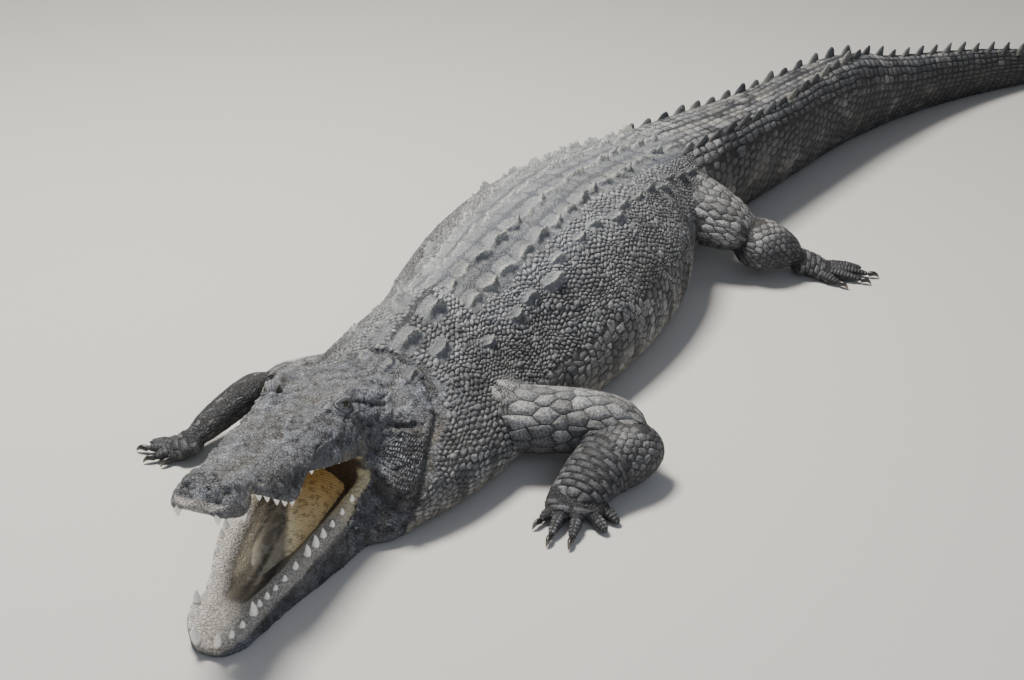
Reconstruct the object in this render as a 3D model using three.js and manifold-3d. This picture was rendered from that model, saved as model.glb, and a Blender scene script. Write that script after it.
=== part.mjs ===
// A basking American crocodile (Crocodylus acutus), life size, as a still museum model.
// Millimetres, +Z up. The snout points to -Y, the tail to +Y and the animal's left is +X.
// The origin is on the flat of the belly, which is the level that jaw, feet and tail rest on.

import * as THREE from 'three';
import { ParametricGeometry } from 'three/addons/geometries/ParametricGeometry.js';
import { mergeVertices } from 'three/addons/utils/BufferGeometryUtils.js';
import Module from 'manifold-3d';

const wasm = await Module();
wasm.setup();

// ---------------------------------------------------------------- driving sizes

const HEAD_LENGTH = 515; // snout tip to the rear edge of the skull table
const GAP = 0.35; // clear space between neighbouring pieces
const FLOOR = 0; // level of every resting flat
const TAIL_TIP_Y = 2330;
const deg = THREE.MathUtils.degToRad;

// Pose of the head: place of the snout tip, and how it is turned.
const SNOUT_TIP = new THREE.Vector3(114, -1186, 262);
const HEAD_YAW = deg(12.3); // the snout swings to the animal's left
const HEAD_PITCH = deg(14.3); // the snout is lifted
const HEAD_ROLL = deg(1);
const GAPE = deg(24.3); // opening of the mouth
const JAW_JOINT = new THREE.Vector3(1.07, 0, -0.03); // in head lengths, from the snout tip

// ---------------------------------------------------------------- smooth guide lines

// A smooth curve through [position, value] knots, with the slope at each knot taken
// from its neighbours.
function guide(knots) {
  const slope = knots.map((knot, i) => {
    const before = knots[Math.max(i - 1, 0)];
    const after = knots[Math.min(i + 1, knots.length - 1)];
    return (after[1] - before[1]) / (after[0] - before[0]);
  });
  return (position) => {
    const last = knots.length - 1;
    const p = THREE.MathUtils.clamp(position, knots[0][0], knots[last][0]);
    let i = 0;
    while (i < last - 1 && p > knots[i + 1][0]) i += 1;
    const width = knots[i + 1][0] - knots[i][0];
    const t = (p - knots[i][0]) / width;
    const rise = t * t * (3 - 2 * t);
    const start = t * (1 - t) * (1 - t) * slope[i] * width;
    const end = t * t * (t - 1) * slope[i + 1] * width;
    return knots[i][1] * (1 - rise) + knots[i + 1][1] * rise + start + end;
  };
}

const power = (value, exponent) => Math.sign(value) * Math.abs(value) ** exponent;

// ---------------------------------------------------------------- solids

// A closed surface becomes a solid: shared corners merged, empty triangles dropped.
function solidOf(geometry) {
  const bare = new THREE.BufferGeometry();
  bare.setAttribute('position', geometry.getAttribute('position'));
  bare.setIndex(geometry.getIndex());
  const merged = mergeVertices(bare, 1e-3);
  const position = merged.getAttribute('position');
  const index = merged.getIndex().array;
  const a = new THREE.Vector3();
  const b = new THREE.Vector3();
  const c = new THREE.Vector3();
  const triangles = [];
  let volume = 0;
  for (let i = 0; i < index.length; i += 3) {
    const [p, q, r] = [index[i], index[i + 1], index[i + 2]];
    if (p === q || q === r || r === p) continue;
    triangles.push(p, q, r);
    a.fromBufferAttribute(position, p);
    b.fromBufferAttribute(position, q);
    c.fromBufferAttribute(position, r);
    volume += a.dot(b.cross(c));
  }
  if (volume < 0) triangles.reverse();
  return new wasm.Manifold(new wasm.Mesh({
    numProp: 3,
    vertProperties: new Float32Array(position.array),
    triVerts: new Uint32Array(triangles),
  }));
}

// A tube of closed rings: ring(k, angle) gives a point of ring k; both ends are capped.
function ringSolid(ring, rings, sides) {
  const stacks = rings + 1;
  const centre = (k) => {
    const middle = new THREE.Vector3();
    for (let j = 0; j < sides; j += 1) middle.add(ring(k, (j / sides) * 2 * Math.PI));
    return middle.divideScalar(sides);
  };
  const surface = (u, v, target) => {
    const row = Math.round(v * stacks);
    const side = Math.round(u * sides) % sides;
    const k = THREE.MathUtils.clamp(row - 1, 0, rings - 1);
    const capped = row === 0 || row === stacks;
    target.copy(capped ? centre(k) : ring(k, (side / sides) * 2 * Math.PI));
  };
  return solidOf(new ParametricGeometry(surface, sides, stacks));
}

// A limb, toe or claw: an oval section carried along a curve, with rounded ends.
// sizes lists [along, half width, half height]; grow swells it for a clearance cut.
function limbSolid(points, sizes, { rings = 6, sides = 10, blunt = 4, grow = 0 } = {}) {
  const path = new THREE.CatmullRomCurve3(points.map((p) => new THREE.Vector3(...p)));
  const halfWidth = guide(sizes.map(([along, width]) => [along, width]));
  const halfHeight = guide(sizes.map(([along, , height]) => [along, height]));
  const up = new THREE.Vector3(0, 0, 1);
  const surface = (u, v, target) => {
    const along = (1 - Math.cos(Math.PI * v)) / 2;
    const round = (1 - Math.abs(2 * along - 1) ** blunt) ** (1 / blunt);
    const tangent = path.getTangentAt(along);
    const across = new THREE.Vector3().crossVectors(tangent, up).normalize();
    const over = new THREE.Vector3().crossVectors(across, tangent);
    const angle = (Math.round(u * sides) % sides) * (2 * Math.PI / sides);
    target.copy(path.getPointAt(along));
    target.addScaledVector(tangent, grow * (2 * along - 1));
    target.addScaledVector(across, Math.cos(angle) * round * (halfWidth(along) + grow));
    target.addScaledVector(over, Math.sin(angle) * round * (halfHeight(along) + grow));
    target.z = Math.max(target.z, FLOOR - grow);
  };
  return solidOf(new ParametricGeometry(surface, sides, rings));
}

// ---------------------------------------------------------------- neck, trunk and tail

// Each line runs along the body: [distance behind the middle of the trunk, size].
const bodyMiddle = guide([[-790, 46], [-700, 47], [-600, 49], [-480, 41], [-330, 36],
  [-200, 36], [-50, 28], [100, 22], [250, 18], [380, 27], [500, 51], [650, 86], [850, 122],
  [1050, 146], [1250, 172], [1400, 204], [1550, 248], [1700, 306], [1850, 380], [2000, 470],
  [2150, 578], [TAIL_TIP_Y, 724]]);
const bodyHalfWidth = guide([[-790, 175], [-700, 205], [-600, 221], [-480, 230], [-330, 237],
  [-200, 261], [-50, 271], [100, 263], [250, 233], [380, 180], [500, 138], [650, 112],
  [850, 95], [1050, 87], [1250, 77], [1450, 66], [1650, 52], [1850, 40], [2050, 28],
  [2200, 19], [TAIL_TIP_Y, 7]]);
const bodyTop = guide([[-790, 164], [-700, 204], [-600, 244], [-480, 280], [-330, 308],
  [-200, 324], [-50, 328], [100, 322], [250, 304], [380, 286], [500, 278], [650, 270],
  [850, 262], [1050, 262], [1250, 262], [1350, 248], [1450, 218], [1550, 198], [1700, 174],
  [1850, 148], [2050, 108], [2200, 74], [TAIL_TIP_Y, 30]]);
const bodyWidest = guide([[-790, 66], [-500, 84], [-100, 94], [300, 112], [450, 136],
  [600, 158], [800, 162], [1300, 142], [1800, 88], [TAIL_TIP_Y, 16]]);
// 2 gives an oval section, more gives a squarer one, less one with sloping shoulders.
const backSquareness = guide([[-790, 1.72], [-700, 1.6], [-600, 1.46], [-480, 1.3],
  [-330, 1.22], [-200, 1.5], [-50, 1.75], [100, 1.87], [250, 2.0], [380, 2.24], [500, 2.68],
  [650, 3.7], [850, 3.5], [1050, 3.2], [1300, 2.3], [1500, 2.0], [TAIL_TIP_Y, 2]]);
const bellySquareness = guide([[-790, 3.2], [300, 3.2], [550, 2.2], [800, 1.9],
  [TAIL_TIP_Y, 2]]);
const bellySag = guide([[-790, 14], [300, 14], [550, 6], [TAIL_TIP_Y, 3]]);
// The flat-sided tail leans over to the animal's left as it lies.
const tailLean = guide([[500, 0], [850, 0.01], [1150, 0.06], [1450, 0.18], [1700, 0.22],
  [TAIL_TIP_Y, 0.1]]);

const BODY_FRONT = -795;
const BODY_RINGS = 31;
const BODY_SIDES = 16;

// A point of the body's skin at a distance y along it and an angle from the back ridge.
function bodyPoint(y, angle, grow = 0) {
  const slope = (bodyMiddle(y + 5) - bodyMiddle(y - 5)) / 10;
  const side = new THREE.Vector3(1, -slope, 0).normalize();
  const widest = bodyWidest(y);
  const above = Math.cos(angle) > 0;
  const height = above ? bodyTop(y) - widest : widest + bellySag(y);
  const squareness = above ? backSquareness(y) : bellySquareness(y);
  const out = power(Math.sin(angle), 2 / squareness) * (bodyHalfWidth(y) + grow);
  const up = power(Math.cos(angle), 2 / squareness) * (height + grow);
  const point = new THREE.Vector3(bodyMiddle(y), y, 0).addScaledVector(side, out);
  point.z = Math.max(widest + up, FLOOR - grow);
  return point.addScaledVector(side, tailLean(y) * point.z);
}

function bodySolid(grow = 0) {
  const from = BODY_FRONT - grow;
  const to = TAIL_TIP_Y + grow;
  const ring = (k, angle) => bodyPoint(from + (to - from) * (k / (BODY_RINGS - 1)), angle, grow);
  return ringSolid(ring, BODY_RINGS, BODY_SIDES);
}

// ---------------------------------------------------------------- crests of the tail

const DOUBLE_CREST_ROWS = 15;
const SINGLE_CREST_ROWS = 17;
const CREST_START_Y = 470;
const WHORL_LENGTH = guide([[0, 56], [14, 60], [24, 56], [34, 38]]);
const crestHeight = guide([[0, 14], [5, 20], [10, 24], [13, 32], [16, 28], [20, 26], [27, 24], [33, 14]]);
const crestOffset = guide([[0, 84], [5, 66], [10, 42], [14, 14]]);

// One scute of the crest: a thin fin on the ridge that leans back over the next one.
function crestScute(y, offset, height) {
  const side = Math.sign(offset);
  const length = 56;
  const thickness = 9;
  const angle = Math.asin(THREE.MathUtils.clamp(
    (Math.abs(offset) / bodyHalfWidth(y)) ** (backSquareness(y) / 2),
    0,
    1,
  ));
  const root = bodyPoint(y, side * angle);
  const sink = 14;
  const corner = (u, v) => {
    const across = (u === 0 || u === 3 ? -1 : 1) * (thickness / 2);
    const along = (u < 2 ? -1 : 1) * (length / 2);
    if (v === 0) return new THREE.Vector3(root.x + across, y + along, root.z - sink);
    return new THREE.Vector3(root.x + side * height * 0.18, y + length * 0.32, root.z + height);
  };
  const surface = (u, v, target) => {
    const row = Math.round(v * 2);
    if (row === 0) target.set(root.x, y, root.z - sink);
    else target.copy(corner(Math.round(u * 4) % 4, row - 1));
  };
  return solidOf(new ParametricGeometry(surface, 4, 2));
}

function crestSolids() {
  const scutes = [];
  let y = CREST_START_Y;
  for (let row = 0; row < DOUBLE_CREST_ROWS + SINGLE_CREST_ROWS; row += 1) {
    if (row < DOUBLE_CREST_ROWS) {
      scutes.push(crestScute(y, crestOffset(row), crestHeight(row)));
      scutes.push(crestScute(y, -crestOffset(row), crestHeight(row)));
    } else {
      scutes.push(crestScute(y, 0, crestHeight(row)));
    }
    y += WHORL_LENGTH(row);
  }
  return scutes;
}

// ---------------------------------------------------------------- head and jaws

// All lines of the head are in head lengths: x runs back from the snout tip, and the
// sizes are measured from its middle line and from the level of its front teeth.
const skullHalfWidth = guide([[0, 0.034], [0.012, 0.064], [0.04, 0.096], [0.09, 0.112],
  [0.135, 0.108], [0.175, 0.096], [0.22, 0.112], [0.29, 0.140], [0.36, 0.155], [0.44, 0.158],
  [0.52, 0.162], [0.62, 0.177], [0.72, 0.196], [0.82, 0.218], [0.92, 0.240], [1.0, 0.250],
  [1.06, 0.24], [1.12, 0.19]]);
const skullTop = guide([[0, 0.022], [0.012, 0.046], [0.04, 0.073], [0.075, 0.088],
  [0.12, 0.083], [0.18, 0.070], [0.26, 0.078], [0.36, 0.092], [0.46, 0.112], [0.56, 0.128],
  [0.64, 0.130], [0.70, 0.138], [0.78, 0.150], [0.88, 0.166], [0.96, 0.171], [1.02, 0.148],
  [1.12, 0.10]]);
const lipHeight = guide([[0, 0.002], [0.012, -0.012], [0.05, -0.020], [0.10, -0.024],
  [0.145, -0.012], [0.175, 0.004], [0.21, -0.004], [0.27, -0.028], [0.34, -0.052], [0.37, -0.044],
  [0.40, -0.014], [0.43, 0.006], [0.47, 0.004], [0.52, -0.006], [0.58, -0.014], [0.66, -0.020],
  [0.74, -0.022], [0.82, -0.012], [0.90, 0], [1.0, -0.02], [1.12, -0.05]]);
const browOut = guide([[0, 0.016], [0.05, 0.06], [0.12, 0.066], [0.2, 0.056], [0.4, 0.078],
  [0.6, 0.094], [0.7, 0.116], [0.8, 0.130], [0.9, 0.138], [0.98, 0.138], [1.12, 0.10]]);
const browUp = guide([[0, 0.020], [0.05, 0.072], [0.12, 0.074], [0.2, 0.062], [0.4, 0.09],
  [0.6, 0.122], [0.68, 0.145], [0.75, 0.168], [0.84, 0.172], [0.95, 0.175], [1.01, 0.15],
  [1.12, 0.09]]);
const cheekOut = guide([[0, 0.022], [0.05, 0.078], [0.12, 0.09], [0.2, 0.09], [0.3, 0.115],
  [0.4, 0.134], [0.6, 0.154], [0.75, 0.178], [0.9, 0.207], [1.0, 0.222], [1.12, 0.18]]);
const cheekUp = guide([[0, 0.016], [0.05, 0.046], [0.2, 0.046], [0.4, 0.062], [0.6, 0.084],
  [0.75, 0.097], [0.9, 0.10], [1.0, 0.09], [1.12, 0.05]]);

const jawHalfWidth = guide([[-0.005, 0.022], [0.01, 0.052], [0.04, 0.082], [0.09, 0.103],
  [0.14, 0.111], [0.19, 0.107], [0.26, 0.122], [0.34, 0.147], [0.43, 0.168], [0.52, 0.180],
  [0.62, 0.194], [0.72, 0.210], [0.82, 0.228], [0.92, 0.244], [1.0, 0.252], [1.08, 0.24],
  [1.14, 0.21]]);
const jawTop = guide([[-0.005, -0.02], [0.01, -0.002], [0.05, 0.006], [0.13, 0.010],
  [0.19, -0.006], [0.27, -0.010], [0.38, 0.004], [0.48, 0.0], [0.58, -0.006], [0.68, 0.0],
  [0.80, 0.018], [0.90, 0.030], [1.0, 0.02], [1.14, -0.04]]);
const jawBottom = guide([[-0.005, -0.05], [0.01, -0.072], [0.05, -0.084], [0.12, -0.098],
  [0.25, -0.118], [0.40, -0.142], [0.55, -0.168], [0.70, -0.194], [0.85, -0.218],
  [1.0, -0.236], [1.14, -0.22]]);
// The throat bulges out below the gum line, more and more towards the neck.
const throatHalfWidth = guide([[-0.005, 0.018], [0.01, 0.05], [0.05, 0.085], [0.14, 0.112],
  [0.26, 0.134], [0.43, 0.184], [0.6, 0.23], [0.75, 0.264], [0.9, 0.28], [1.0, 0.276],
  [1.14, 0.22]]);
const mouthFloor = guide([[-0.005, -0.022], [0.05, -0.006], [0.12, -0.010], [0.18, -0.018],
  [0.24, -0.044], [0.4, -0.058], [0.7, -0.072], [0.9, -0.06], [1.14, -0.08]]);
const gumThickness = guide([[-0.005, 0.020], [0.04, 0.06], [0.12, 0.075], [0.18, 0.070],
  [0.26, 0.070], [0.5, 0.070], [0.7, 0.060], [0.9, 0.052], [1.14, 0.06]]);

// Height of the palate's arch above the lips.
const palateRise = guide([[0, 0.004], [0.10, 0.008], [0.20, 0.028], [0.30, 0.030], [1.12, 0.030]]);

// Half of a head section, from the middle of the top round to the middle of the palate.
function skullHalfSection(x) {
  const w = skullHalfWidth(x);
  const lip = lipHeight(x);
  const top = skullTop(x);
  const arch = palateRise(x);
  return [[0, top], [browOut(x) * 0.55, (top + browUp(x)) / 2], [browOut(x), browUp(x)],
    [cheekOut(x), cheekUp(x)], [w, lip + 0.35 * (cheekUp(x) - lip)], [w * 0.97, lip],
    [w * 0.86, lip + 0.002], [w * 0.72, lip + 0.74 * arch], [0, lip + arch]];
}

// Half of a section of the lower jaw, from its keel out and over the gum to the floor.
function jawHalfSection(x) {
  const w = jawHalfWidth(x);
  const top = jawTop(x);
  const bottom = jawBottom(x);
  const deep = top - bottom;
  const inner = Math.max(w - gumThickness(x), w * 0.08);
  const floor = Math.min(mouthFloor(x), top - 0.004);
  const under = throatHalfWidth(x);
  return [[0, bottom], [under * 0.9, bottom + 0.02 * deep], [under, bottom + 0.24 * deep],
    [(w + under) / 2, bottom + 0.6 * deep], [w * 0.99, top - 0.014], [w * 0.93, top],
    [inner + 0.25 * (w - inner), top - 0.004], [inner * 0.8, floor + 0.2 * (top - floor)],
    [0, floor]];
}

// The head's frame: x back along the head, y to the animal's left, z up, in millimetres.
function headMatrix(pitch) {
  const basis = new THREE.Matrix4().makeBasis(
    new THREE.Vector3(0, 1, 0),
    new THREE.Vector3(1, 0, 0),
    new THREE.Vector3(0, 0, 1),
  );
  const turn = new THREE.Matrix4().makeRotationZ(HEAD_YAW);
  const lift = new THREE.Matrix4().makeRotationX(-pitch);
  const lean = new THREE.Matrix4().makeRotationY(HEAD_ROLL);
  return turn.multiply(lift).multiply(lean).multiply(basis);
}
const skullFrame = headMatrix(HEAD_PITCH).setPosition(SNOUT_TIP);
const jawPivot = JAW_JOINT.clone().multiplyScalar(HEAD_LENGTH).applyMatrix4(skullFrame);

// The lower jaw and the jowls turn about the jaw joint.
function aboutJawJoint(pitch) {
  const frame = headMatrix(pitch);
  const joint = JAW_JOINT.clone().multiplyScalar(HEAD_LENGTH).applyMatrix4(frame);
  return frame.setPosition(jawPivot.clone().sub(joint));
}
const jawFrame = aboutJawJoint(HEAD_PITCH - GAPE);
const jowlFrame = aboutJawJoint(HEAD_PITCH - GAPE * 0.5);

const LIP_CORNER = 5; // half-section corners past this one face into the mouth

// A solid whose rings are mirrored half sections at the given places along the head.
function headSolid(places, halfSection, frame, grow = 0) {
  const sides = 2 * (halfSection(0.5).length - 1);
  const half = sides / 2;
  const last = places.length - 1;
  const swell = grow / HEAD_LENGTH;
  const ring = (k, angle) => {
    const j = Math.round((angle / (2 * Math.PI)) * sides) % sides;
    const corners = halfSection(places[k]);
    const corner = j <= half ? j : sides - j;
    const [out, up] = corners[corner];
    const outward = corner === 0 || corner === half ? 0 : corner <= LIP_CORNER ? 1 : -1;
    const middle = (corners[0][1] + corners[half][1]) / 2;
    const back = (k === last ? swell : 0) - (k === 0 ? swell : 0);
    const y = (j <= half ? 1 : -1) * (out + outward * swell);
    const z = up + Math.sign(up - middle) * swell;
    const point = new THREE.Vector3(places[k] + back, y, z);
    point.multiplyScalar(HEAD_LENGTH).applyMatrix4(frame);
    point.z = Math.max(point.z, FLOOR - grow);
    return point;
  };
  return ringSolid(ring, places.length, sides);
}

const SKULL_PLACES = [0, 0.012, 0.04, 0.085, 0.13, 0.175, 0.225, 0.29, 0.35, 0.39, 0.43, 0.50,
  0.60, 0.68, 0.76, 0.84, 0.92, 0.98, 1.04, 1.12];
const JAW_PLACES = [-0.005, 0.012, 0.045, 0.09, 0.14, 0.19, 0.27, 0.38, 0.50, 0.62, 0.75,
  0.88, 1.0, 1.14];

const skull = (grow) => headSolid(SKULL_PLACES, skullHalfSection, skullFrame, grow);
const lowerJaw = (grow) => headSolid(JAW_PLACES, jawHalfSection, jawFrame, grow);

const POUCH_SIDES = 14;
// A flattened ball of muscle or throat skin, squared a little; sizes are in head lengths.
function pouchSolid(shape, frame, grow = 0) {
  const swell = grow / HEAD_LENGTH;
  const surface = (u, v, target) => {
    const across = v * Math.PI;
    const side = Math.round(u * POUCH_SIDES) % POUCH_SIDES;
    const angle = side * (2 * Math.PI / POUCH_SIDES);
    const round = power(Math.sin(across), 0.7);
    const reach = Math.sin(angle) > 0 ? shape.up : shape.down;
    target.set(
      shape.x + power(Math.cos(angle), 0.85) * round * (shape.length + swell),
      power(Math.cos(across), 0.8) * (shape.width + swell),
      shape.z + power(Math.sin(angle), 0.85) * round * (reach + swell),
    );
    target.multiplyScalar(HEAD_LENGTH).applyMatrix4(frame);
    target.z = Math.max(target.z, FLOOR - grow);
  };
  return solidOf(new ParametricGeometry(surface, POUCH_SIDES, 9));
}

// The jowls fill the corner between skull and jaw, the nape the one behind the skull's flat top,
// and the throat carries the neck on under the jaw.
const JOWL = { x: 1.02, z: -0.02, length: 0.21, width: 0.272, up: 0.16, down: 0.24 };
const THROAT = { x: 0.84, z: -0.12, length: 0.24, width: 0.37, up: 0.06, down: 0.12 };
const NAPE = { x: 1.0, z: 0.03, length: 0.15, width: 0.25, up: 0.13, down: 0.12 };
const jowls = (grow) => pouchSolid(JOWL, jowlFrame, grow);
const nape = (grow) => pouchSolid(NAPE, skullFrame, grow);
const throat = (grow) => pouchSolid(THROAT, jawFrame, grow);

// ---------------------------------------------------------------- teeth, tongue and eyes

// Teeth: [place along the jaw, height above the gum], in head lengths.
const UPPER_TEETH = [[0.022, 0.026], [0.05, 0.026], [0.085, 0.034], [0.115, 0.036],
  [0.145, 0.022], [0.215, 0.018], [0.245, 0.022], [0.28, 0.028], [0.315, 0.034],
  [0.35, 0.038], [0.39, 0.026], [0.43, 0.016], [0.47, 0.022], [0.51, 0.014], [0.55, 0.012],
  [0.59, 0.012], [0.635, 0.012]];
const LOWER_TEETH = [[0.012, 0.046], [0.045, 0.028], [0.085, 0.024], [0.14, 0.046],
  [0.185, 0.024], [0.225, 0.024], [0.265, 0.024], [0.305, 0.026], [0.355, 0.032],
  [0.415, 0.048], [0.46, 0.042], [0.505, 0.034], [0.56, 0.03], [0.62, 0.028], [0.68, 0.024]];

// A tooth is a cone set in the gum, leaning a little outwards.
function tooth(x, out, root, tip, height, frame) {
  const direction = tip > root ? 1 : -1;
  const radius = 0.011 + 0.09 * height;
  const shape = new THREE.ConeGeometry(radius, height + 0.02, 4, 1);
  shape.rotateX(direction * Math.PI / 2);
  shape.translate(0, 0, direction * (height - 0.02) / 2);
  const lean = new THREE.Matrix4().makeRotationX(-Math.sign(out) * direction * 0.16);
  const set = new THREE.Matrix4().makeTranslation(x, out, root);
  shape.applyMatrix4(lean).applyMatrix4(set);
  shape.scale(HEAD_LENGTH, HEAD_LENGTH, HEAD_LENGTH).applyMatrix4(frame);
  return solidOf(shape);
}

function teethOf(list, halfWidth, gum, inset, direction, frame) {
  const teeth = [];
  for (const [x, height] of list) {
    for (const side of [1, -1]) {
      const out = side * (halfWidth(x) - inset);
      teeth.push(tooth(x, out, gum(x), gum(x) + direction * height, height, frame));
    }
  }
  return teeth;
}
const upperTeeth = teethOf(UPPER_TEETH, skullHalfWidth, lipHeight, 0.018, -1, skullFrame);
const lowerTeeth = teethOf(LOWER_TEETH, jawHalfWidth, jawTop, 0.016, 1, jawFrame);

// The tongue lies flat on the floor of the mouth, widest towards the throat.
const tongueHalfWidth = guide([[0.24, 0.012], [0.3, 0.044], [0.45, 0.082], [0.65, 0.108],
  [0.85, 0.12], [0.9, 0.1]]);
const TONGUE_PLACES = [0.24, 0.3, 0.4, 0.52, 0.65, 0.78, 0.88];
function tongueHalfSection(x) {
  const w = tongueHalfWidth(x);
  const floor = mouthFloor(x);
  const rise = 0.026 + 0.03 * (x - 0.24);
  return [[0, floor + rise], [w * 0.7, floor + rise * 0.95], [w, floor + rise * 0.75],
    [w * 0.9, floor - 0.01], [0, floor - 0.012]];
}
const tongue = () => headSolid(TONGUE_PLACES, tongueHalfSection, jawFrame);

const EYE = { x: 0.722, out: 0.118, up: 0.138, radius: 0.034 };
function eye(side, grow = 0) {
  const shape = new THREE.SphereGeometry(EYE.radius * HEAD_LENGTH + grow, 8, 6);
  const place = new THREE.Vector3(EYE.x, side * EYE.out, EYE.up).multiplyScalar(HEAD_LENGTH);
  shape.translate(place.x, place.y, place.z).applyMatrix4(skullFrame);
  return solidOf(shape);
}

// ---------------------------------------------------------------- limbs

// Each limb: the run of each length of it, and its [along, half width, half height].
const LIMBS = {
  fore_left: {
    upper: [[[110, -470, 112], [235, -492, 98], [330, -440, 90], [400, -408, 84],
      [454, -400, 70]],
      [[0, 72, 74], [0.35, 64, 66], [0.7, 62, 62], [1, 58, 56]]],
    lower: [[[466, -380, 56], [446, -440, 60], [424, -510, 52], [418, -594, 32]],
      [[0, 58, 50], [0.35, 66, 58], [0.7, 58, 46], [1, 54, 30]]],
    palm: [[[414, -530, 38], [418, -574, 29], [428, -616, 18]],
      [[0, 52, 32], [0.5, 57, 25], [1, 54, 16]]],
    toes: [[[394, -596, 17], [386, -622, 15], [382, -644, 9]],
      [[410, -606, 18], [415, -644, 16], [421, -676, 9]],
      [[436, -602, 18], [447, -636, 16], [456, -666, 9]],
      [[450, -586, 17], [476, -602, 15], [500, -614, 8]],
      [[462, -564, 16], [484, -571, 13], [504, -577, 7]]],
    toeRadius: 13,
    clawed: 3,
  },
  fore_right: {
    upper: [[[-60, -440, 76], [-130, -490, 74], [-188, -540, 76], [-237, -600, 84]],
      [[0, 56, 58], [0.4, 50, 52], [0.7, 45, 46], [1, 38, 40]]],
    lower: [[[-243, -582, 82], [-257, -645, 70], [-270, -708, 54], [-278, -772, 36]],
      [[0, 36, 36], [0.35, 35, 35], [0.7, 32, 31], [1, 32, 25]]],
    palm: [[[-277, -752, 34], [-290, -778, 26], [-304, -792, 18]],
      [[0, 32, 25], [0.6, 38, 20], [1, 36, 15]]],
    toes: [[[-288, -786, 17], [-292, -800, 15], [-298, -816, 9]],
      [[-302, -792, 17], [-314, -808, 16], [-330, -824, 9]],
      [[-308, -784, 17], [-336, -796, 16], [-364, -806, 9]],
      [[-310, -776, 16], [-344, -778, 14], [-376, -784, 7]],
      [[-304, -766, 15], [-330, -758, 12], [-352, -752, 6]]],
    toeRadius: 13,
    clawed: 3,
  },
  hind_left: {
    upper: [[[70, 400, 160], [160, 412, 152], [232, 410, 134], [306, 418, 104]],
      [[0, 88, 90], [0.4, 78, 78], [0.75, 68, 66], [1, 58, 56]]],
    lower: [[[286, 404, 92], [322, 440, 82], [356, 472, 66], [390, 506, 44]],
      [[0, 60, 56], [0.35, 64, 60], [0.7, 52, 48], [1, 42, 32]]],
    palm: [[[380, 492, 38], [414, 510, 29], [452, 524, 19]],
      [[0, 44, 32], [0.5, 44, 24], [1, 44, 16]]],
    toes: [[[426, 498, 18], [468, 488, 16], [504, 482, 9]],
      [[430, 508, 18], [490, 516, 16], [540, 524, 9]],
      [[430, 520, 18], [490, 542, 16], [544, 562, 9]],
      [[420, 526, 18], [470, 562, 14], [516, 592, 7]]],
    toeRadius: 14,
    clawed: 3,
  },
  hind_right: {
    upper: [[[-40, 410, 130], [-110, 406, 115], [-165, 396, 100], [-225, 392, 82]],
      [[0, 80, 84], [0.4, 72, 74], [0.75, 62, 62], [1, 54, 52]]],
    lower: [[[-215, 376, 76], [-238, 410, 70], [-256, 446, 60], [-272, 484, 42]],
      [[0, 54, 52], [0.35, 58, 54], [0.7, 50, 46], [1, 40, 32]]],
    palm: [[[-268, 470, 38], [-286, 500, 29], [-310, 528, 19]],
      [[0, 42, 32], [0.5, 42, 24], [1, 42, 16]]],
    toes: [[[-296, 498, 18], [-340, 506, 16], [-376, 510, 9]],
      [[-298, 510, 18], [-352, 532, 16], [-400, 552, 9]],
      [[-292, 520, 18], [-334, 562, 16], [-372, 600, 9]],
      [[-282, 522, 18], [-306, 572, 14], [-326, 614, 7]]],
    toeRadius: 14,
    clawed: 3,
  },
};

const CLAW_LENGTH = 18;

function toeSizes(radius) {
  return [[0, radius, radius], [0.5, radius * 0.95, radius * 0.95],
    [1, radius * 0.62, radius * 0.62]];
}

function clawSolid(toe) {
  const tip = new THREE.Vector3(...toe[toe.length - 1]);
  const before = new THREE.Vector3(...toe[toe.length - 2]);
  const along = tip.clone().sub(before).setZ(0).normalize();
  const step = (reach, height) => {
    const point = tip.clone().addScaledVector(along, reach);
    return [point.x, point.y, height];
  };
  const run = [step(-6, 11), step(CLAW_LENGTH * 0.4, 11), step(CLAW_LENGTH, 3)];
  return limbSolid(run, [[0, 6.5, 7], [0.5, 5, 5.5], [1, 1.5, 2]], {
    rings: 3,
    sides: 5,
    blunt: 2.4,
  });
}

// ---------------------------------------------------------------- putting it together

const SKIN_TOP = '#54554f';
const SKIN_SIDE = '#5d5c52';
const SKIN_LIMB = '#45443f';

function finish(color, roughness) {
  return new THREE.MeshStandardMaterial({ color, roughness, metalness: 0 });
}

const crocodile = new THREE.Group();

function addPiece(name, solid, material) {
  const mesh = solid.getMesh();
  const geometry = new THREE.BufferGeometry();
  geometry.setAttribute('position', new THREE.Float32BufferAttribute(mesh.vertProperties, 3));
  geometry.setIndex(new THREE.Uint32BufferAttribute(mesh.triVerts, 1));
  geometry.computeVertexNormals();
  const piece = new THREE.Mesh(geometry, material);
  piece.name = name;
  crocodile.add(piece);
}

const join = (solids) => solids.reduce((sum, solid) => sum.add(solid));
const cutAway = (solid, others) => others.reduce((rest, other) => rest.subtract(other), solid);

// A block that holds the part of the body between two distances along it.
function lengthOfBody(from, to) {
  const size = 2000;
  const block = new THREE.BoxGeometry(size, to - from - GAP, size);
  block.translate(0, (from + to) / 2, 0);
  return solidOf(block);
}

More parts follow.
